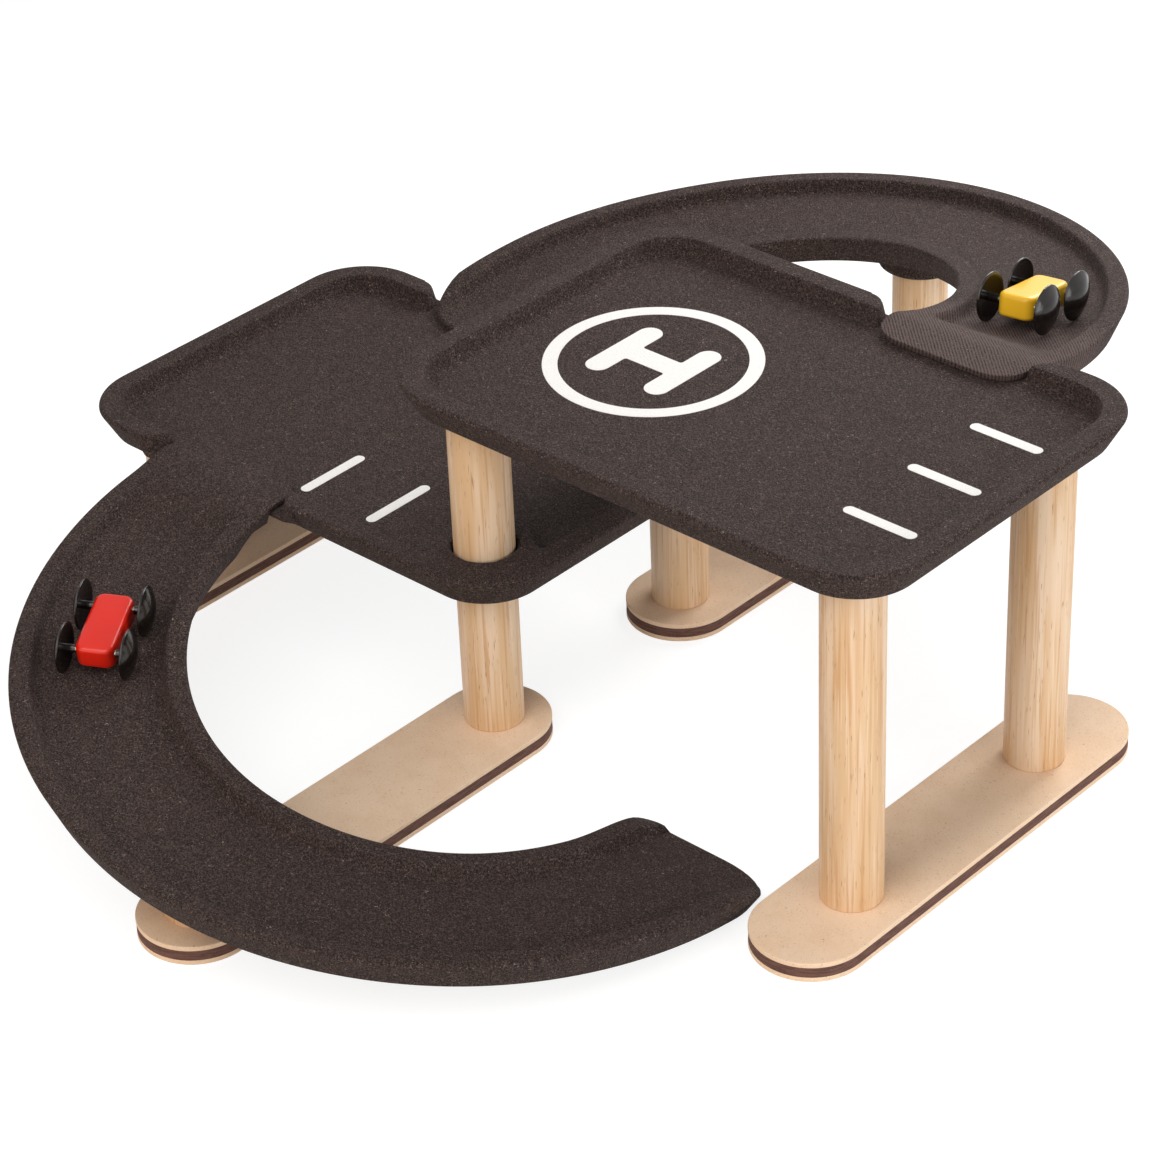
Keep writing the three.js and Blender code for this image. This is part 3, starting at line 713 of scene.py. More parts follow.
def edge_profile(low: float, high: float, rounding: float, steps: int = 5) -> list[Flat]:
    """Draws the [inset, height] line up the side of a slab with both edges rounded.

    Args:
        low: the underside's height.
        high: the top's height.
        rounding: the edges' radius.
        steps: segments for each edge.

    Returns:
        The line from the underside to the top.
    """
    arc = quarter_round(steps)
    rising = [(rounding * inwards, low + rounding * down) for inwards, down in arc]
    return rising + [(rounding * inwards, high - rounding * down) for inwards, down in reversed(arc)]


@dataclass
class BasePlate:
    """A long base plate with round ends: a dyed core between two pale plies."""

    name: str
    x: float
    y: float
    half_span: float = PLATE_SPAN / 2
    radius: float = 23.8
    bottom_ply: float = 2.1
    core_ply: float = 4.4
    top_ply: float = 2.2
    eased: float = 0.35
    core_inset: float = 0.12
    end_steps: int = 20

    def build(self) -> None:
        """Makes the three plies."""
        core_low = self.bottom_ply
        core_high = core_low + self.core_ply
        top = core_high + self.top_ply
        outline = Oblong(self.radius, self.half_span + self.radius, self.radius, self.end_steps)
        pale, dark = SawdustBoard(), DyedCore()
        for ply, profile, finish, slot in (
            ("bottom_ply", edge_profile(0, core_low, self.eased), pale, "ply"),
            ("core_ply", [(self.core_inset, core_low), (self.core_inset, core_high)], dark, "core"),
            ("top_ply", edge_profile(core_high, top, self.eased), pale, "ply"),
        ):
            place = Matrix.Translation((self.x, self.y, 0))
            piece = outline.slab(profile).piece(f"{self.name}_{ply}_board", finish, place)
            stand(piece, ROOT_BODY, f"{self.name}_{ply}", slot)


@dataclass
class Post:
    """A plain round post with broken edges."""

    name: str
    x: float
    y: float
    low: float
    high: float
    radius: float = POST_DIAMETER / 2
    edge: float = 0.6
    segments: int = 96

    def build(self) -> None:
        """Makes the post."""
        side = edge_profile(self.low, self.high, self.edge)
        skin = turned([(self.radius - inset, height) for inset, height in side], self.segments)
        piece = skin.piece(f"{self.name}_dowel", Rubberwood(), Matrix.Translation((self.x, self.y, 0)))
        stand(piece, ROOT_BODY, self.name, "timber")


@dataclass(frozen=True)
class Notch:
    """The gap in a deck's rim where a ramp's end lies."""

    middle: float
    rear: bool
    half: float = 36.3
    outer_round: float = 11.0
    inner_round: float = 4.0
    inner_edge: float = 13.6

    def reach(self, x: float, y: float, inset: float) -> float:
        """Tells how far a place lies inside the rim beside the notch.

        Args:
            x: along the deck.
            y: across the deck.
            inset: in from the deck's edge.

        Returns:
            The distance into the rim, negative in the notch, and endless where the notch isn't near.
        """
        if (y > 0) != self.rear or inset > self.inner_edge:
            return math.inf
        away = abs(x - self.middle) - self.half
        outer, inner = self.outer_round, self.inner_round
        if inset < outer and away < outer:
            return min(away, outer - math.hypot(outer - away, outer - inset))
        start = self.inner_edge - inner
        if inset > start and away < inner:
            return min(away, inner - math.hypot(inner - away, inset - start))
        return away


@dataclass
class Deck:
    """A round-cornered tray pressed from fibre board."""

    name: str
    middle_x: float
    underside: float
    notches: tuple[Notch, ...]
    seats: tuple[Flat, ...] = ()
    half_length: float = DECK_X + 31.0
    half_width: float = POST_Y + 29.6
    corner: float = 31.0
    taper: float = 6.5
    rim: float = 10.0
    wall_run: float = 1.7
    thickness: float = BOARD_THICKNESS
    depth: float = TRAY_DEPTH
    top_round: float = 1.6
    foot_round: float = 2.4
    edge_round: float = 1.8
    seat_radius: float = 20.2
    seat_blend: float = 9.0
    seat_hole: float = 13.3
    hole_run: float = 0.2
    hole_round: float = 0.7
    # How much further in than the taper, and how high, the outline runs round the underside.
    foot: tuple[Flat, ...] = ((-0.7, 1.2), (-0.2, 0.4), (0.8, 0.0))
    arc_steps: int = 8
    corner_steps: int = 22
    fine_step: float = 0.8
    rim_step: float = 12.5 / 3
    coarse_step: float = 7.0
    # How far past a notch's end, and into the notch, the mesh is fine.
    fine_outside: float = 12.5
    fine_inside: float = 2.5

    def __post_init__(self) -> None:
        """Draws the lines that its heights are read from."""
        floor = self.thickness - self.depth
        foot = self.rim + self.wall_run
        far = self.half_length
        self.wall = fillet(
            [(-far, self.thickness), (self.rim, self.thickness), (foot, floor), (far, floor)],
            [0, self.top_round, self.foot_round, 0],
            self.arc_steps,
        )
        nose = self.wall_run / 2
        self.nose = fillet(
            [(-far, floor), (-nose, floor), (nose, self.thickness), (far, self.thickness)],
            [0, self.top_round / 2, self.top_round, 0],
            self.arc_steps,
        )
        hole = self.seat_hole
        self.hole = fillet(
            [(0, floor), (hole, floor), (hole + self.hole_run, self.thickness), (far, self.thickness)],
            [0, 0, self.hole_round, 0],
        )

    def height(self, x: float, y: float, inset: float) -> float:
        """Gives the top's height over the underside.

        Args:
            x: along the deck.
            y: across the deck.
            inset: in from the edge.

        Returns:
            The height.
        """
        within = inset - self.rim
        aways = [math.hypot(x - seat_x, y - seat_y) for seat_x, seat_y in self.seats]
        for away in aways:
            within = smooth_least(within, away - self.seat_radius, self.seat_blend)
        made = along_line(self.wall, self.rim + within)
        for notch in self.notches:
            reach = notch.reach(x, y, inset)
            if reach < self.rim * 2:
                made = min(made, along_line(self.nose, reach))
        for away in aways:
            made = min(made, along_line(self.hole, away))
        return made

    def lines(self) -> tuple[list[float], list[float], list[float]]:
        """Spaces the mesh's lines, close where the notches and seats are.

        Returns:
            The lines along the deck, across it, and in from its edge.
        """
        half_x = self.half_length - self.corner
        half_y = self.half_width - self.corner
        fine, coarse = self.fine_step, self.coarse_step
        seat = self.seat_radius + self.seat_blend
        close: list[Flat] = []
        for notch in self.notches:
            low, high = notch.middle - notch.half, notch.middle + notch.half
            close.append((low - self.fine_outside, low + self.fine_inside))
            close.append((high - self.fine_inside, high + self.fine_outside))
        if self.seats:
            close.append((half_x - seat, half_x))
        stops = sorted({-half_x, half_x} | {max(-half_x, min(half_x, end)) for pair in close for end in pair})
        steps = [
            fine if any(low <= (a + b) / 2 <= high for low, high in close) else coarse
            for a, b in zip(stops, stops[1:])
        ]
        along = spaced([*zip(stops, [*steps, fine])])
        if self.seats:
            across = spaced([(-half_y, fine), (seat - half_y, coarse), (half_y - seat, fine), (half_y, fine)])
            inwards = spaced([(self.edge_round, fine), (self.corner, fine)])
        else:
            across = spaced([(-half_y, coarse), (half_y, coarse)])
            past_wall = self.rim + self.wall_run + self.fine_inside
            inwards = spaced([(self.edge_round, fine), (past_wall, self.rim_step), (self.corner, fine)])
        return along, across, inwards

    def loop(self, along: Sequence[float], across: Sequence[float], inset: float) -> list[Flat]:
        """Draws the deck's outline, drawn in by a distance, with points on the mesh's lines.

        Args:
            along: lines along the deck.
            across: lines across it.
            inset: how far the outline is drawn in.

        Returns:
            The loop's points, anticlockwise from the right side.
        """
        x, y = self.half_length - inset, self.half_width - inset
        radius = self.corner - inset
        loop: list[Flat] = []
        sides = (
            [(x, v) for v in across],
            [(u, y) for u in reversed(along)],
            [(-x, v) for v in reversed(across)],
            [(u, -y) for u in along],
        )
        for quarter, side in enumerate(sides):
            loop += side
            corner_x = (self.half_length - self.corner) * (1 if quarter in (0, 3) else -1)
            corner_y = (self.half_width - self.corner) * (1 if quarter < 2 else -1)
            for i in range(1, self.corner_steps):
                turn = (quarter + i / self.corner_steps) * math.pi / 2
                loop.append((corner_x + radius * math.cos(turn), corner_y + radius * math.sin(turn)))
        return loop

    def build(self) -> None:
        """Makes the deck."""
        along, across, inwards = self.lines()
        skin = Skin()
        far = self.half_length
        skin.bridge([skin.row([(x, y, self.height(x, y, far)) for x in along]) for y in across], closed=False)
        drops = [(inset, 0.0) for inset in reversed(inwards)]
        drops += [(self.edge_round * inset, self.edge_round * down) for inset, down in quarter_round(6)[1:]]
        rings = []
        for inset, drop in drops:
            loop = self.loop(along, across, inset)
            rings.append(skin.row([(x, y, self.height(x, y, inset) - drop) for x, y in loop]))
        for more, height in self.foot:
            loop = self.loop(along, across, self.taper + more)
            rings.append(skin.row([(x, y, height) for x, y in loop]))
        skin.bridge(rings)
        skin.fan(rings[-1])
        place = Matrix.Translation((self.middle_x, 0, self.underside))
        stand(skin.piece(f"{self.name}_tray", FibreBoard(), place), ROOT_BODY, self.name, "board")


@dataclass
class Ramp:
    """A half-ring ramp with a sunk lane, in the front ramp's place unless it is turned round.

    Places along it are distances from the upper end of the half ring, and places across it are
    distances out from the lane's middle.
    """

    name: str
    heights: tuple[float, float, float, float, float]
    seat: float
    under: float
    landing: float = 0.0
    turned_round: bool = False
    radius: float = 128.5
    width: float = 70.6
    straight: float = 29.5
    thickness: float = BOARD_THICKNESS
    taper: float = 5.0
    rim_width: float = 8.5
    lane_depth: float = 6.0
    wall_run: float = 2.2
    foot_round: float = 2.6
    top_round: float = 1.5
    edge_round: float = 1.7
    thin_round: float = 0.45
    toe_round: float = 3.6
    tongue_corner: float = 17.0
    toe_inner: float = 11.0
    toe_outer: float = 29.0
    tongue_thickness: float = 3.2
    gap: float = 0.1
    tongue_flat: float = 14.0
    lane_start: float = 0.0
    lane_full: float = 23.0
    undercut: float = 12.0
    toe_length: float = 13.0
    toe_inner_height: float = 5.6
    toe_outer_height: float = 3.8
    toe_inner_share: float = 0.76
    toe_outer_share: float = 0.54
    toe_lane: float = 3.3
    deck_edge: float = 8.6
    lane_blend: float = 0.8
    # How far past the deck's edge the thin rounding starts, and the rounding's share of the thickness.
    thin_past: float = 6.0
    drop_share: float = 0.3
    # How much further in, and how high, the outline runs round the underside.
    foot: tuple[Flat, ...] = ((-0.4, 0.5), (0.6, 0.0))
    corner_steps: int = 12
    arc_steps: int = 8
    # The longest steps of the mesh along the ramp, and half the step at the deck's edge.
    even_step: float = 2.0
    rise_step: float = 1.6
    long_step: float = 4.4
    rise_past: float = 4.0
    deck_step: float = 0.1
    # The longest steps across the lane, its wall and its rim, and how far the wall's steps reach.
    lane_step: float = 6.5
    wall_step: float = 0.65
    rim_step: float = 2.6
    wall_inside: float = 5.2
    wall_outside: float = 1.8
    boss_radius: float = 20.0
    boss_taper: float = 1.2
    boss_drop: float = BOSS_DROP

    def __post_init__(self) -> None:
        """Works out the lines that its heights are read from."""
        self.half = self.width / 2
        self.ring_y = RAMP_POST_Y - self.radius
        self.ring = math.pi * self.radius
        self.end = self.ring + self.straight
        self.lift = self.gap if self.landing > 0 else 0.0
        self.inner_rim = self.rim_line(self.toe_inner_share, self.toe_inner_height)
        self.outer_rim = self.rim_line(self.toe_outer_share, self.toe_outer_height)
        self.sink = smooth_line(
            [(self.lane_start, 0.0), (self.lane_full, self.lane_depth), (self.ring, self.lane_depth)]
        )
        self.rounding = smooth_line(
            [
                (-self.deck_edge - self.thin_past, self.thin_round),
                (self.undercut / 2, self.edge_round),
                (self.ring - self.lane_full, self.edge_round),
                (self.ring, self.thin_round),
            ]
        )
        foot = self.half - self.rim_width - self.wall_run
        self.wall = fillet(
            [(0, -self.lane_depth), (foot, -self.lane_depth), (foot + self.wall_run, 0), (self.half, 0)],
            [0, self.foot_round, self.top_round, 0],
            self.arc_steps,
        )

    def rim_line(self, toe_share: float, toe_height: float) -> Callable[[float], float]:
        """Draws the line of one rim's heights.

        Args:
            toe_share: the share of the half ring's end height that is left where the toe starts.
            toe_height: the rim's height at the very end, over what it lands on.

        Returns:
            The height as a function of the place along the ramp.
        """
        top = self.seat + self.gap + self.tongue_thickness
        quarters = [(self.ring * i / 4, height) for i, height in enumerate(self.heights)]
        fall = (self.heights[-1] - self.landing) * toe_share
        return smooth_line(
            [
                (-self.straight, top),
                (-self.tongue_flat, top),
                *quarters,
                (self.end - self.toe_length, self.landing + fall),
                (self.end, self.landing + toe_height),
            ]
        )

    def lane_at(self, place: float) -> float:
        """Gives the lane's height.

        Args:
            place: along the ramp.

        Returns:
            The height above the ground.
        """
        if place <= self.ring:
            return self.inner_rim(place) - self.sink(place)
        start = self.heights[-1] - self.lane_depth
        finish = self.landing + self.lift + self.toe_lane
        return start + (finish - start) * (place - self.ring) / self.straight

    def bottom_at(self, place: float) -> float:
        """Gives the underside's height.

        Args:
            place: along the ramp.

        Returns:
            The height above the ground.
        """
        if place < -self.deck_edge:
            return self.seat + self.gap
        t = min(1.0, max(0.0, place / self.undercut))
        rim = self.inner_rim(place)
        return max(self.landing + self.lift, rim - self.thickness * t - (rim - self.under) * (1 - t))

    def top_at(self, place: float, out: float) -> float:
        """Gives the top's height above the ground."""
        rim = self.outer_rim(place) if out > 0 else self.inner_rim(place)
        return -smooth_least(-rim - along_line(self.wall, abs(out)), -self.lane_at(place), self.lane_blend)

    def plan(self, place: float, out: float) -> Flat:
        """Gives a place in plan.

        Args:
            place: along the ramp.
            out: across it.

        Returns:
            Its x and y.
        """
        turn = min(math.pi, max(0.0, place / self.radius))
        past = max(0.0, -place, place - self.ring)
        reach = self.radius + out
        x, y = -math.cos(turn) * reach, -math.sin(turn) * reach + past - self.ring_y
        return (-x, -y) if self.turned_round else (x, y)

    def under_inset(self, place: float) -> float:
        """Gives how far the underside is drawn in."""
        return self.taper * (self.inner_rim(place) - self.bottom_at(place)) / self.thickness

    def ease(self, place: float, side: int) -> float:
        """Gives how far the top's edge is rounded in: side -1 is the inner, 1 the outer and 0 an end."""
        return self.rounding(place) + (self.blunt(place, self.half) * self.toe_round if side > 0 else 0.0)

    def blunt(self, place: float, out: float) -> float:
        """Gives the share by which the top's edge is worn down, up to 1 at the toe's outer corner."""
        along = min(1.0, max(0.0, (place - self.ring) / self.straight))
        return along * min(1.0, max(0.0, out / self.half + 0.5))

    def edge_drop(self, place: float, out: float) -> float:
        """Gives the height of the top's rounding, a share of the thickness where the ramp is thin."""
        thickness = self.top_at(place, out) - self.bottom_at(place)
        return min(self.ease(place, 1), thickness * self.drop_share * (1 + self.blunt(place, out)))

    def outline(self, inset: Callable[[float, int], float]) -> list[Point]:
        """Gives the ramp's flat outline, drawn in by a distance.

        Args:
            inset: gives the distance for a place along the ramp and a side of it.

        Returns:
            A [place, inner side, outer side] triple for each line across the ramp.
        """

        def cut(reach: float, past: float) -> float:
            """Gives how far in a corner's curve of this reach is, at a distance past the ramp's end."""
            return reach * (1 - math.sqrt(past / reach)) ** 2 if past < reach else 0.0

        middle = spaced(
            [
                (-self.straight + self.tongue_corner, self.even_step),
                (-self.deck_edge - self.deck_step, 2 * self.deck_step),
                (-self.deck_edge + self.deck_step, self.rise_step),
                (self.lane_full + self.rise_past, self.long_step),
                (self.ring, self.even_step),
                (self.end - self.toe_outer, self.even_step),
            ]
        )
        shares = [i / self.corner_steps for i in range(self.corner_steps)]
        lines = []
        for share in shares:
            step = inset(-self.straight, 0)
            reach = self.tongue_corner - step
            past = reach * share * share
            side = self.half - step - cut(reach, past)
            lines.append((-self.straight + step + past, -side, side))
        for place in middle:
            lines.append((place, inset(place, -1) - self.half, self.half - inset(place, 1)))
        for share in reversed(shares):
            step = inset(self.end, 0)
            past = (self.toe_outer - step) * share * share
            place = self.end - step - past
            low = inset(place, -1) - self.half + cut(self.toe_inner - step, past)
            lines.append((place, low, self.half - inset(place, 1) - cut(self.toe_outer - step, past)))
        return lines

    def across(self) -> list[float]:
        """Spaces the lines along the ramp, as shares of its width, close at the lane's walls."""
        inner = self.half - self.edge_round
        wall = self.half - self.rim_width
        near, past = (wall - self.wall_inside, self.wall_step), (wall + self.wall_outside, self.rim_step)
        places = spaced([(0, self.lane_step), near, past, (inner, self.rim_step)])
        both = [-p for p in reversed(places[1:])] + places
        return [(p + inner) / (2 * inner) for p in both]

    def round_loop(self, inset: Callable[[float, int], float]) -> list[Flat]:
        """Runs once round the outline, with points on all the mesh's lines.

        Args:
            inset: gives the distance in for a place along the ramp and a side of it.

        Returns:
            [place along, place across] pairs.
        """
        lines = self.outline(inset)
        (first, first_low, first_high), (last, last_low, last_high) = lines[0], lines[-1]
        shares = self.across()[1:-1]
        loop = [(place, low) for place, low, _ in lines]
        loop += [(last, last_low + (last_high - last_low) * share) for share in shares]
        loop += [(place, high) for place, _, high in reversed(lines)]
        loop += [(first, first_low + (first_high - first_low) * share) for share in reversed(shares)]
        return loop

    def sheet(
        self, skin: Skin, inset: Callable[[float, int], float], height: Callable[[float, float], float]
    ) -> None:
        """Spans the whole outline with faces.

        Args:
            skin: the skin to add to.
            inset: gives the distance in for a place along the ramp and a side of it.
            height: gives the height for a place along and across the ramp.
        """
        rows = []
        for place, low, high in self.outline(inset):
            outs = [low + (high - low) * share for share in self.across()]
            rows.append(skin.row([(*self.plan(place, out), height(place, out)) for out in outs]))
        skin.bridge(rows, closed=False)

    def build(self) -> None:
        """Makes the ramp and the boss under it."""
        skin = Skin()
        self.sheet(skin, self.ease, self.top_at)
        rings = []
        for inwards, down in quarter_round(6):
            loop = self.round_loop(lambda place, side: self.ease(place, side) * inwards)
            rings.append(
                skin.row(
                    [
                        (*self.plan(place, out), self.top_at(place, out) - self.edge_drop(place, out) * down)
                        for place, out in loop
                    ]
                )
            )
        for more, lift in self.foot:
            loop = self.round_loop(lambda place, _: max(0.0, self.under_inset(place) + more))
            ring = [(*self.plan(place, out), self.bottom_at(place) + lift) for place, out in loop]
            rings.append(skin.row(ring))
        skin.bridge(rings)
        more = self.foot[-1][0]
        self.sheet(skin, lambda place, _: self.under_inset(place) + more, lambda at, _: self.bottom_at(at))
        stand(skin.piece(f"{self.name}_band", RibbedBoard()), ROOT_BODY, self.name, "board")
        self.build_boss()

    def build_boss(self) -> None:
        """Makes the round boss that the ramp's post stands in."""
        middle, wide = self.ring / 2, self.boss_radius
        foot = self.inner_rim(middle) - self.thickness - self.boss_drop
        head = (self.lane_at(middle + wide) + self.inner_rim(middle - wide) - self.thickness) / 2
        side = fillet(
            [(0, foot), (wide - self.boss_taper, foot), (wide, head), (0, head)], [0, self.edge_round, 0, 0]
        )
        y = RAMP_POST_Y if self.turned_round else -RAMP_POST_Y
        piece = turned(side[1:-1]).piece(f"{self.name}_boss", FibreBoard(), Matrix.Translation((0, y, 0)))
        stand(piece, ROOT_BODY, slot="board")


@dataclass
class Markings:
    """The white print on the decks: parking lines, and a ring with a letter H to land on."""

    ink: float = 0.16
    sunk: float = 0.05
    line_width: float = 5.0
    upper_line_x: Flat = (167.5, 200.5)
    upper_line_y: Point = (-38.4, 0.0, 38.4)
    lower_line_x: Flat = (-96.0, -57.6)
    lower_line_y: Flat = (-68.1, -32.5)
    ring_place: Flat = (40.5, 0.5)
    ring_radius: float = 44.0
    ring_band: float = 6.2
    ring_segments: int = 144
    leg_x: float = 15.3
    leg_half: float = 20.5
    stroke: float = 10.4
    crook: float = 1.2
    tip_gap: float = 0.01
    tip_steps: int = 8

    def line(self, name: str, middle: Flat, length: float, turn: float, floor: float) -> None:
        """Prints one line with round ends.

        Args:
            name: the piece's name.
            middle: the line's middle.
            length: its length.
            turn: its direction in radians.
            floor: the height of the floor under it.
        """
        radius = self.line_width / 2
        profile = [(0.0, -self.sunk), (0.0, self.ink / 2), (self.ink / 2, self.ink)]
        place = Matrix.Translation((*middle, floor)) @ Matrix.Rotation(turn, 4, "Z")
        stand(Oblong(length / 2, radius, radius).slab(profile).piece(name, PrintInk(), place), ROOT_BODY)

    def build(self) -> None:
        """Prints all the markings."""
        low, high = self.upper_line_x
        for i, y in enumerate(self.upper_line_y):
            self.line(f"upper_parking_line_{i + 1}", ((low + high) / 2, y), high - low, 0, UPPER_FLOOR)
        low, high = self.lower_line_y
        for i, x in enumerate(self.lower_line_x):
            middle = (x, (low + high) / 2)
            self.line(f"lower_parking_line_{i + 1}", middle, high - low, math.pi / 2, LOWER_FLOOR)
        place = Matrix.Translation((*self.ring_place, UPPER_FLOOR))
        for name, skin in (("landing_ring", self.ring()), ("landing_letter", self.letter())):
            stand(skin.piece(name, PrintInk(), place), ROOT_BODY)

    def ring(self) -> Skin:
        """Draws the ring about its middle."""
        outer, inner = self.ring_radius, self.ring_radius - self.ring_band
        ink, edge = self.ink, self.ink / 2
        section = [(outer, -self.sunk), (outer, edge), (outer - edge, ink)]
        section += [(inner + edge, ink), (inner, edge), (inner, -self.sunk)]
        skin = Skin()
        rings = [skin.row(circle(radius, height, self.ring_segments)) for radius, height in section]
        skin.bridge([*rings, rings[0]])
        return skin

    def letter(self) -> Skin:
        """Draws the letter H about its middle, its legs along Y."""
        inner, outer = self.leg_x - self.stroke / 2, self.leg_x + self.stroke / 2
        far, bar = self.leg_half, self.stroke / 2
        quarter = [(outer, far), (inner, far), (inner, bar)]
        half = [*quarter, *((-x, y) for x, y in reversed(quarter))]
        corners = [*half, *((x, -y) for x, y in reversed(half))]
        tip = self.stroke / 2 - self.tip_gap
        radii = [tip, tip, self.crook, self.crook, tip, tip] * 2
        outline = fillet(corners, radii, self.tip_steps, closed=True)
        skin = Skin()
        rings = [skin.row([(x, y, z) for x, y in outline]) for z in (-self.sunk, self.ink)]
        skin.bridge(rings)
        skin.faces += [tuple(ring) for ring in rings]
        return skin


@dataclass
class Car:
    """A block on four domed wheels, placed on a ramp's lane."""

    name: str
    paint: Paint
    slot: str
    ramp: Ramp
    turn_degrees: float
    inset: float
    yaw_degrees: float
    length: float = 33.5
    width: float = 16.0
    height: float = 10.2
    corner: float = 4.0
    edge: float = 2.0
    belly: float = 4.6
    lift: float = 0.6
    wheel_base: float = 25.0
    wheel_radius: float = 10.5
    wheel_rim: float = 1.0
    dome: float = 2.5
    dish: float = 0.9
    hub_radius: float = 1.8
    hub_length: float = 5.0
    hub_gap: float = 0.5
    axle_radius: float = 1.3
    axle_seat: float = 1.0
    edge_steps: int = 7
    dish_steps: int = 7
    rim_steps: int = 8
    dome_steps: int = 16
    axle_segments: int = 32

    def placement(self) -> Matrix:
        """Works out where the car stands.

        Returns:
            The turn and move that take it from its own axes, its length along X and its left along Y.
        """
        ramp = self.ramp
        turn = math.radians(self.turn_degrees)
        place = turn * ramp.radius
        away = Vector((-math.cos(turn), -math.sin(turn), 0))
        step = self.wheel_base / 2
        ahead_height, behind_height = ramp.lane_at(place + step), ramp.lane_at(place - step)
        ahead = Vector((-away.y, away.x, (ahead_height - behind_height) / self.wheel_base)).normalized()
        up = away.cross(ahead).normalized()
        left = up.cross(ahead)
        point = away * ramp.radius + Vector((0, -ramp.ring_y, 0))
        point.z = (ahead_height + behind_height) / 2
        point += up * self.lift - away * self.inset
        axes = Matrix((ahead, left, up)).transposed().to_4x4()
        made = Matrix.Translation(point) @ axes @ Matrix.Rotation(math.radians(self.yaw_degrees), 4, "Z")
        return Matrix.Rotation(math.pi, 4, "Z") @ made if ramp.turned_round else made

    def wheel_profile(self) -> list[Flat]:
        """Draws the wheel.

        Returns:
            [radius, distance out from the car's middle] pairs, from the hub's face to the dome's top.
        """
        face = self.width / 2 + self.hub_gap
        disc = face + self.hub_length
        radius, rim, hub = self.wheel_radius, self.wheel_rim, self.hub_radius
        inner_edge = disc - self.dish
        outer_edge = inner_edge + rim
        crown = disc - self.dish / 2 + rim + self.dome
        line = [(hub, face), (hub, disc)]
        for i in range(self.dish_steps):
            t = (i + 1) / self.dish_steps
            line.append((hub + (radius - rim / 2 - hub) * t, disc - self.dish * t * t))
        for i in range(1, self.rim_steps):
            turn = math.pi * i / self.rim_steps
            bulge, across = rim / 2 * (1 - math.sin(turn)), rim * (1 - math.cos(turn)) / 2
            line.append((radius - bulge, inner_edge + across))
        for i in range(self.dome_steps):
            out = math.cos(math.pi / 2 * i / self.dome_steps)
            line.append(((radius - rim / 2) * out, outer_edge + (crown - outer_edge) * (1 - out * out)))
        return line

    def build(self) -> None:
        """Makes the block, the wheels and the axles."""
        place = self.placement()
        block = Oblong(self.length / 2, self.width / 2, self.corner)
        profile = edge_profile(self.belly, self.belly + self.height, self.edge, self.edge_steps)
        body = block.slab(profile).piece(f"{self.name}_block", GlossLacquer.of(self.paint), place)
        stand(body, self.name, f"{self.name}_body", self.slot)
        reach = self.width / 2 + self.hub_gap + self.axle_seat
        pin = [(self.axle_radius, -reach), (self.axle_radius, reach)]
        for end, x in (("front", self.wheel_base / 2), ("rear", -self.wheel_base / 2)):
            wheelset = f"{self.name}_{end}_wheelset"
            centre = place @ Matrix.Translation((x, 0, self.wheel_radius))
            for side, turn in (("left", -math.pi / 2), ("right", math.pi / 2)):
                where = centre @ Matrix.Rotation(turn, 4, "X")
                wheel = f"{self.name}_{end}_{side}"
                disc = turned(self.wheel_profile()).piece(f"{wheel}_disc", TurnedGloss(), where)
                stand(disc, wheelset, f"{wheel}_wheel", "wheel_black")
            where = centre @ Matrix.Rotation(math.pi / 2, 4, "X")
            axle = turned(pin, self.axle_segments).piece(f"{self.name}_{end}_pin", DrawnSteel(), where)
            stand(axle, wheelset, f"{self.name}_{end}_axle", "axle_steel")


@dataclass(frozen=True)
class Lamp:
    """A soft square lamp that looks at the garage's middle."""

    name: str
    place: Point
    size: float
    power: float
    tint: str = "#FFFFFF"

    def hang(self) -> None:
        """Hangs the lamp."""
        data = bpy.data.lights.new(self.name, "AREA")
        data.shape = "SQUARE"
        data.size = self.size * MM
        data.energy = self.power
        data.color = linear(self.tint)[:3]
        lamp = bpy.data.objects.new(self.name, data)
        lamp.location = Vector(self.place) * MM
        aim = Vector(LAMP_AIM) * MM - lamp.location
        lamp.rotation_euler = aim.to_track_quat("-Z", "Y").to_euler()
        bpy.context.scene.collection.objects.link(lamp)


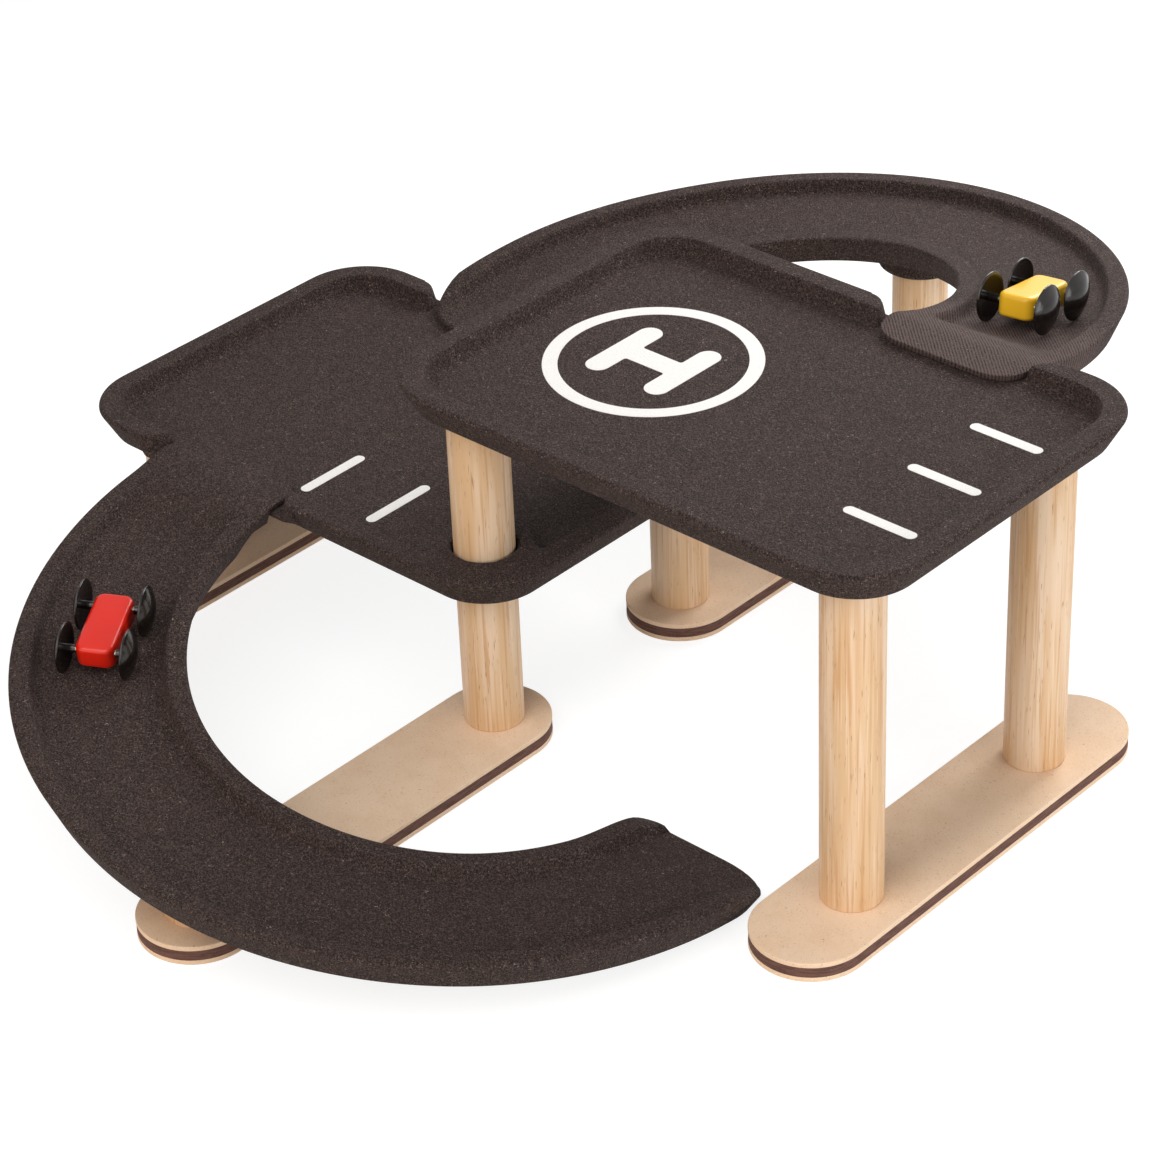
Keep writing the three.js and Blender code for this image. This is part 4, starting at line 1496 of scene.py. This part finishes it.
@dataclass
class Studio:
    """A pale floor, a soft dome of light and soft lamps, and the camera at the photograph's angle."""

    floor_size: float = 14000.0
    floor_colour: str = "#F4F4F3"
    floor_shade: float = 0.34
    floor_glow: float = 0.83
    dome: float = 0.2
    lamps: tuple[Lamp, ...] = (
        Lamp("rear_softbox", (0, 620, 560), 500, 5.2),
        Lamp("top_softbox", (220, -740, 1000), 900, 8.3),
        Lamp("front_fill", (0, -1200, 250), 700, 3.0, "#FFDDB6"),
        Lamp("right_softbox", (1290, 60, 270), 900, 9.2),
    )
    camera: Point = (864.86, -914.86, 856.51)
    azimuth: float = 43.52
    elevation: float = 32.78
    roll: float = -2.47
    lens: float = 111.25
    sensor: float = 36.0
    clip: Flat = (0.05, 50.0)

    def seen(self, tree: bpy.types.NodeTree) -> bpy.types.NodeSocket:
        """Tells the camera's rays and the reflected ones from the rays that light things.

        Args:
            tree: the node tree to add to.

        Returns:
            The socket that is 1 for a ray that shows the background.
        """
        paths = add_node(tree, "ShaderNodeLightPath", {}, {})
        seen = paths.outputs["Is Camera Ray"]
        for kind in ("Is Glossy Ray", "Is Transmission Ray"):
            either = {0: seen, 1: paths.outputs[kind]}
            seen = add_node(tree, "ShaderNodeMath", {"operation": "MAXIMUM"}, either).outputs[0]
        return seen

    def build_floor(self) -> None:
        """Lays the floor, which is plain white to the camera and keeps the garage's shadow."""
        half = self.floor_size / 2 * MM
        mesh = bpy.data.meshes.new("studio_floor")
        corners = [(-half, -half, 0), (half, -half, 0), (half, half, 0), (-half, half, 0)]
        mesh.from_pydata(corners, [], [(0, 1, 2, 3)])
        floor = bpy.data.objects.new("studio_floor", mesh)
        bpy.context.scene.collection.objects.link(floor)
        made = bpy.data.materials.new("studio_floor_paper")
        made.use_nodes = True
        tree = made.node_tree
        shader = tree.nodes["Principled BSDF"]
        shader.inputs["Roughness"].default_value = 0.9
        shader.inputs["Specular IOR Level"].default_value = 0.0
        shader.inputs["Emission Color"].default_value = (1, 1, 1, 1)
        seen = self.seen(tree)
        paper = linear(self.floor_colour)
        shade = (*(self.floor_shade * c for c in paper[:3]), 1.0)
        blend = {MIX_FACTOR: seen, MIX_A: paper, MIX_B: shade}
        colour = add_node(tree, "ShaderNodeMix", {"data_type": "RGBA"}, blend)
        glow = add_node(tree, "ShaderNodeMath", {"operation": "MULTIPLY"}, {0: seen, 1: self.floor_glow})
        tree.links.new(colour.outputs[MIX_RESULT], shader.inputs["Base Color"])
        tree.links.new(glow.outputs[0], shader.inputs["Emission Strength"])
        mesh.materials.append(made)

    def build_world(self) -> None:
        """Fills the room with even light, white where the camera or a reflection looks past the floor."""
        world = bpy.data.worlds.new("studio_dome")
        bpy.context.scene.world = world
        world.use_nodes = True
        tree = world.node_tree
        backdrop = tree.nodes["Background"]
        backdrop.inputs["Color"].default_value = (1, 1, 1, 1)
        range_of_light = {"Value": self.seen(tree), "To Min": self.dome, "To Max": 1.0}
        strength = add_node(tree, "ShaderNodeMapRange", {}, range_of_light)
        tree.links.new(strength.outputs[0], backdrop.inputs["Strength"])

    def build_camera(self) -> None:
        """Sets the camera up as the photograph's was."""
        azimuth, elevation, roll = (math.radians(v) for v in (self.azimuth, self.elevation, self.roll))
        turn = Matrix.Rotation(azimuth, 4, "Z") @ Matrix.Rotation(math.pi / 2 - elevation, 4, "X")
        turn @= Matrix.Rotation(roll, 4, "Z")
        data = bpy.data.cameras.new("photo_camera")
        data.lens = self.lens
        data.sensor_width = self.sensor
        data.sensor_fit = "HORIZONTAL"
        data.clip_start, data.clip_end = self.clip
        camera = bpy.data.objects.new("photo_camera", data)
        camera.matrix_world = Matrix.Translation(Vector(self.camera) * MM) @ turn
        bpy.context.scene.collection.objects.link(camera)
        bpy.context.scene.camera = camera

    def build(self) -> None:
        """Makes the whole studio."""
        self.build_floor()
        self.build_world()
        for lamp in self.lamps:
            lamp.hang()
        self.build_camera()
        bpy.context.scene.view_settings.view_transform = "Standard"


def build_posts() -> None:
    """Stands all ten posts, each front one with its rear twin."""
    socket = SOCKET_DEPTH - SOCKET_GAP - BOSS_DROP - BOARD_THICKNESS
    ramp_posts = (FRONT_RAMP_HEIGHTS[2] + socket, REAR_RAMP_HEIGHTS[2] + socket)
    lower, upper = (LOWER_DECK_HEIGHT,) * 2, (UPPER_DECK_HEIGHT,) * 2
    for name, x, y, low, heights in (
        ("middle_post_lower", 0.0, POST_Y, PLATE_THICKNESS, lower),
        ("middle_post_upper", 0.0, POST_Y, LOWER_FLOOR, upper),
        ("left_post", -COLUMN_PITCH, POST_Y, PLATE_THICKNESS, lower),
        ("right_post", COLUMN_PITCH, POST_Y, PLATE_THICKNESS, upper),
        ("ramp_post", 0.0, RAMP_POST_Y, PLATE_THICKNESS, ramp_posts),
    ):
        for side, way, high in zip(("front", "rear"), (-1, 1), heights):
            Post(f"{side}_{name}", x, way * y, low, high).build()


def main() -> None:
    """Builds the garage and its studio."""
    logging.basicConfig(level=logging.INFO, format="%(name)s: %(message)s")
    middle = (POST_Y + RAMP_POST_Y) / 2
    BasePlate("front_base", 0, -middle).build()
    BasePlate("rear_base", 0, middle).build()
    BasePlate("left_base", -COLUMN_PITCH, 0).build()
    BasePlate("right_base", COLUMN_PITCH, 0).build()
    build_posts()
    notch_x = 34.5
    lower_notches = (Notch(-notch_x, rear=False), Notch(-notch_x, rear=True))
    seats = ((DECK_X, -POST_Y), (DECK_X, POST_Y))
    Deck("lower_deck", -DECK_X, LOWER_DECK_HEIGHT, lower_notches, seats).build()
    Deck("upper_deck", DECK_X, UPPER_DECK_HEIGHT, (Notch(notch_x, rear=True),)).build()
    front = Ramp("front_ramp", FRONT_RAMP_HEIGHTS, LOWER_FLOOR, LOWER_DECK_HEIGHT)
    rear = Ramp("rear_ramp", REAR_RAMP_HEIGHTS, UPPER_FLOOR, UPPER_DECK_HEIGHT, LOWER_FLOOR, True)
    front.build()
    rear.build()
    Markings().build()
    red, yellow = Paint.RED, Paint.YELLOW
    Car("red_car", red, "red_paint", front, turn_degrees=39.85, inset=3.0, yaw_degrees=-9.7).build()
    Car("yellow_car", yellow, "yellow_paint", rear, turn_degrees=20.05, inset=0.0, yaw_degrees=166.4).build()
    Studio().build()


if __name__ == "__main__":
    main()
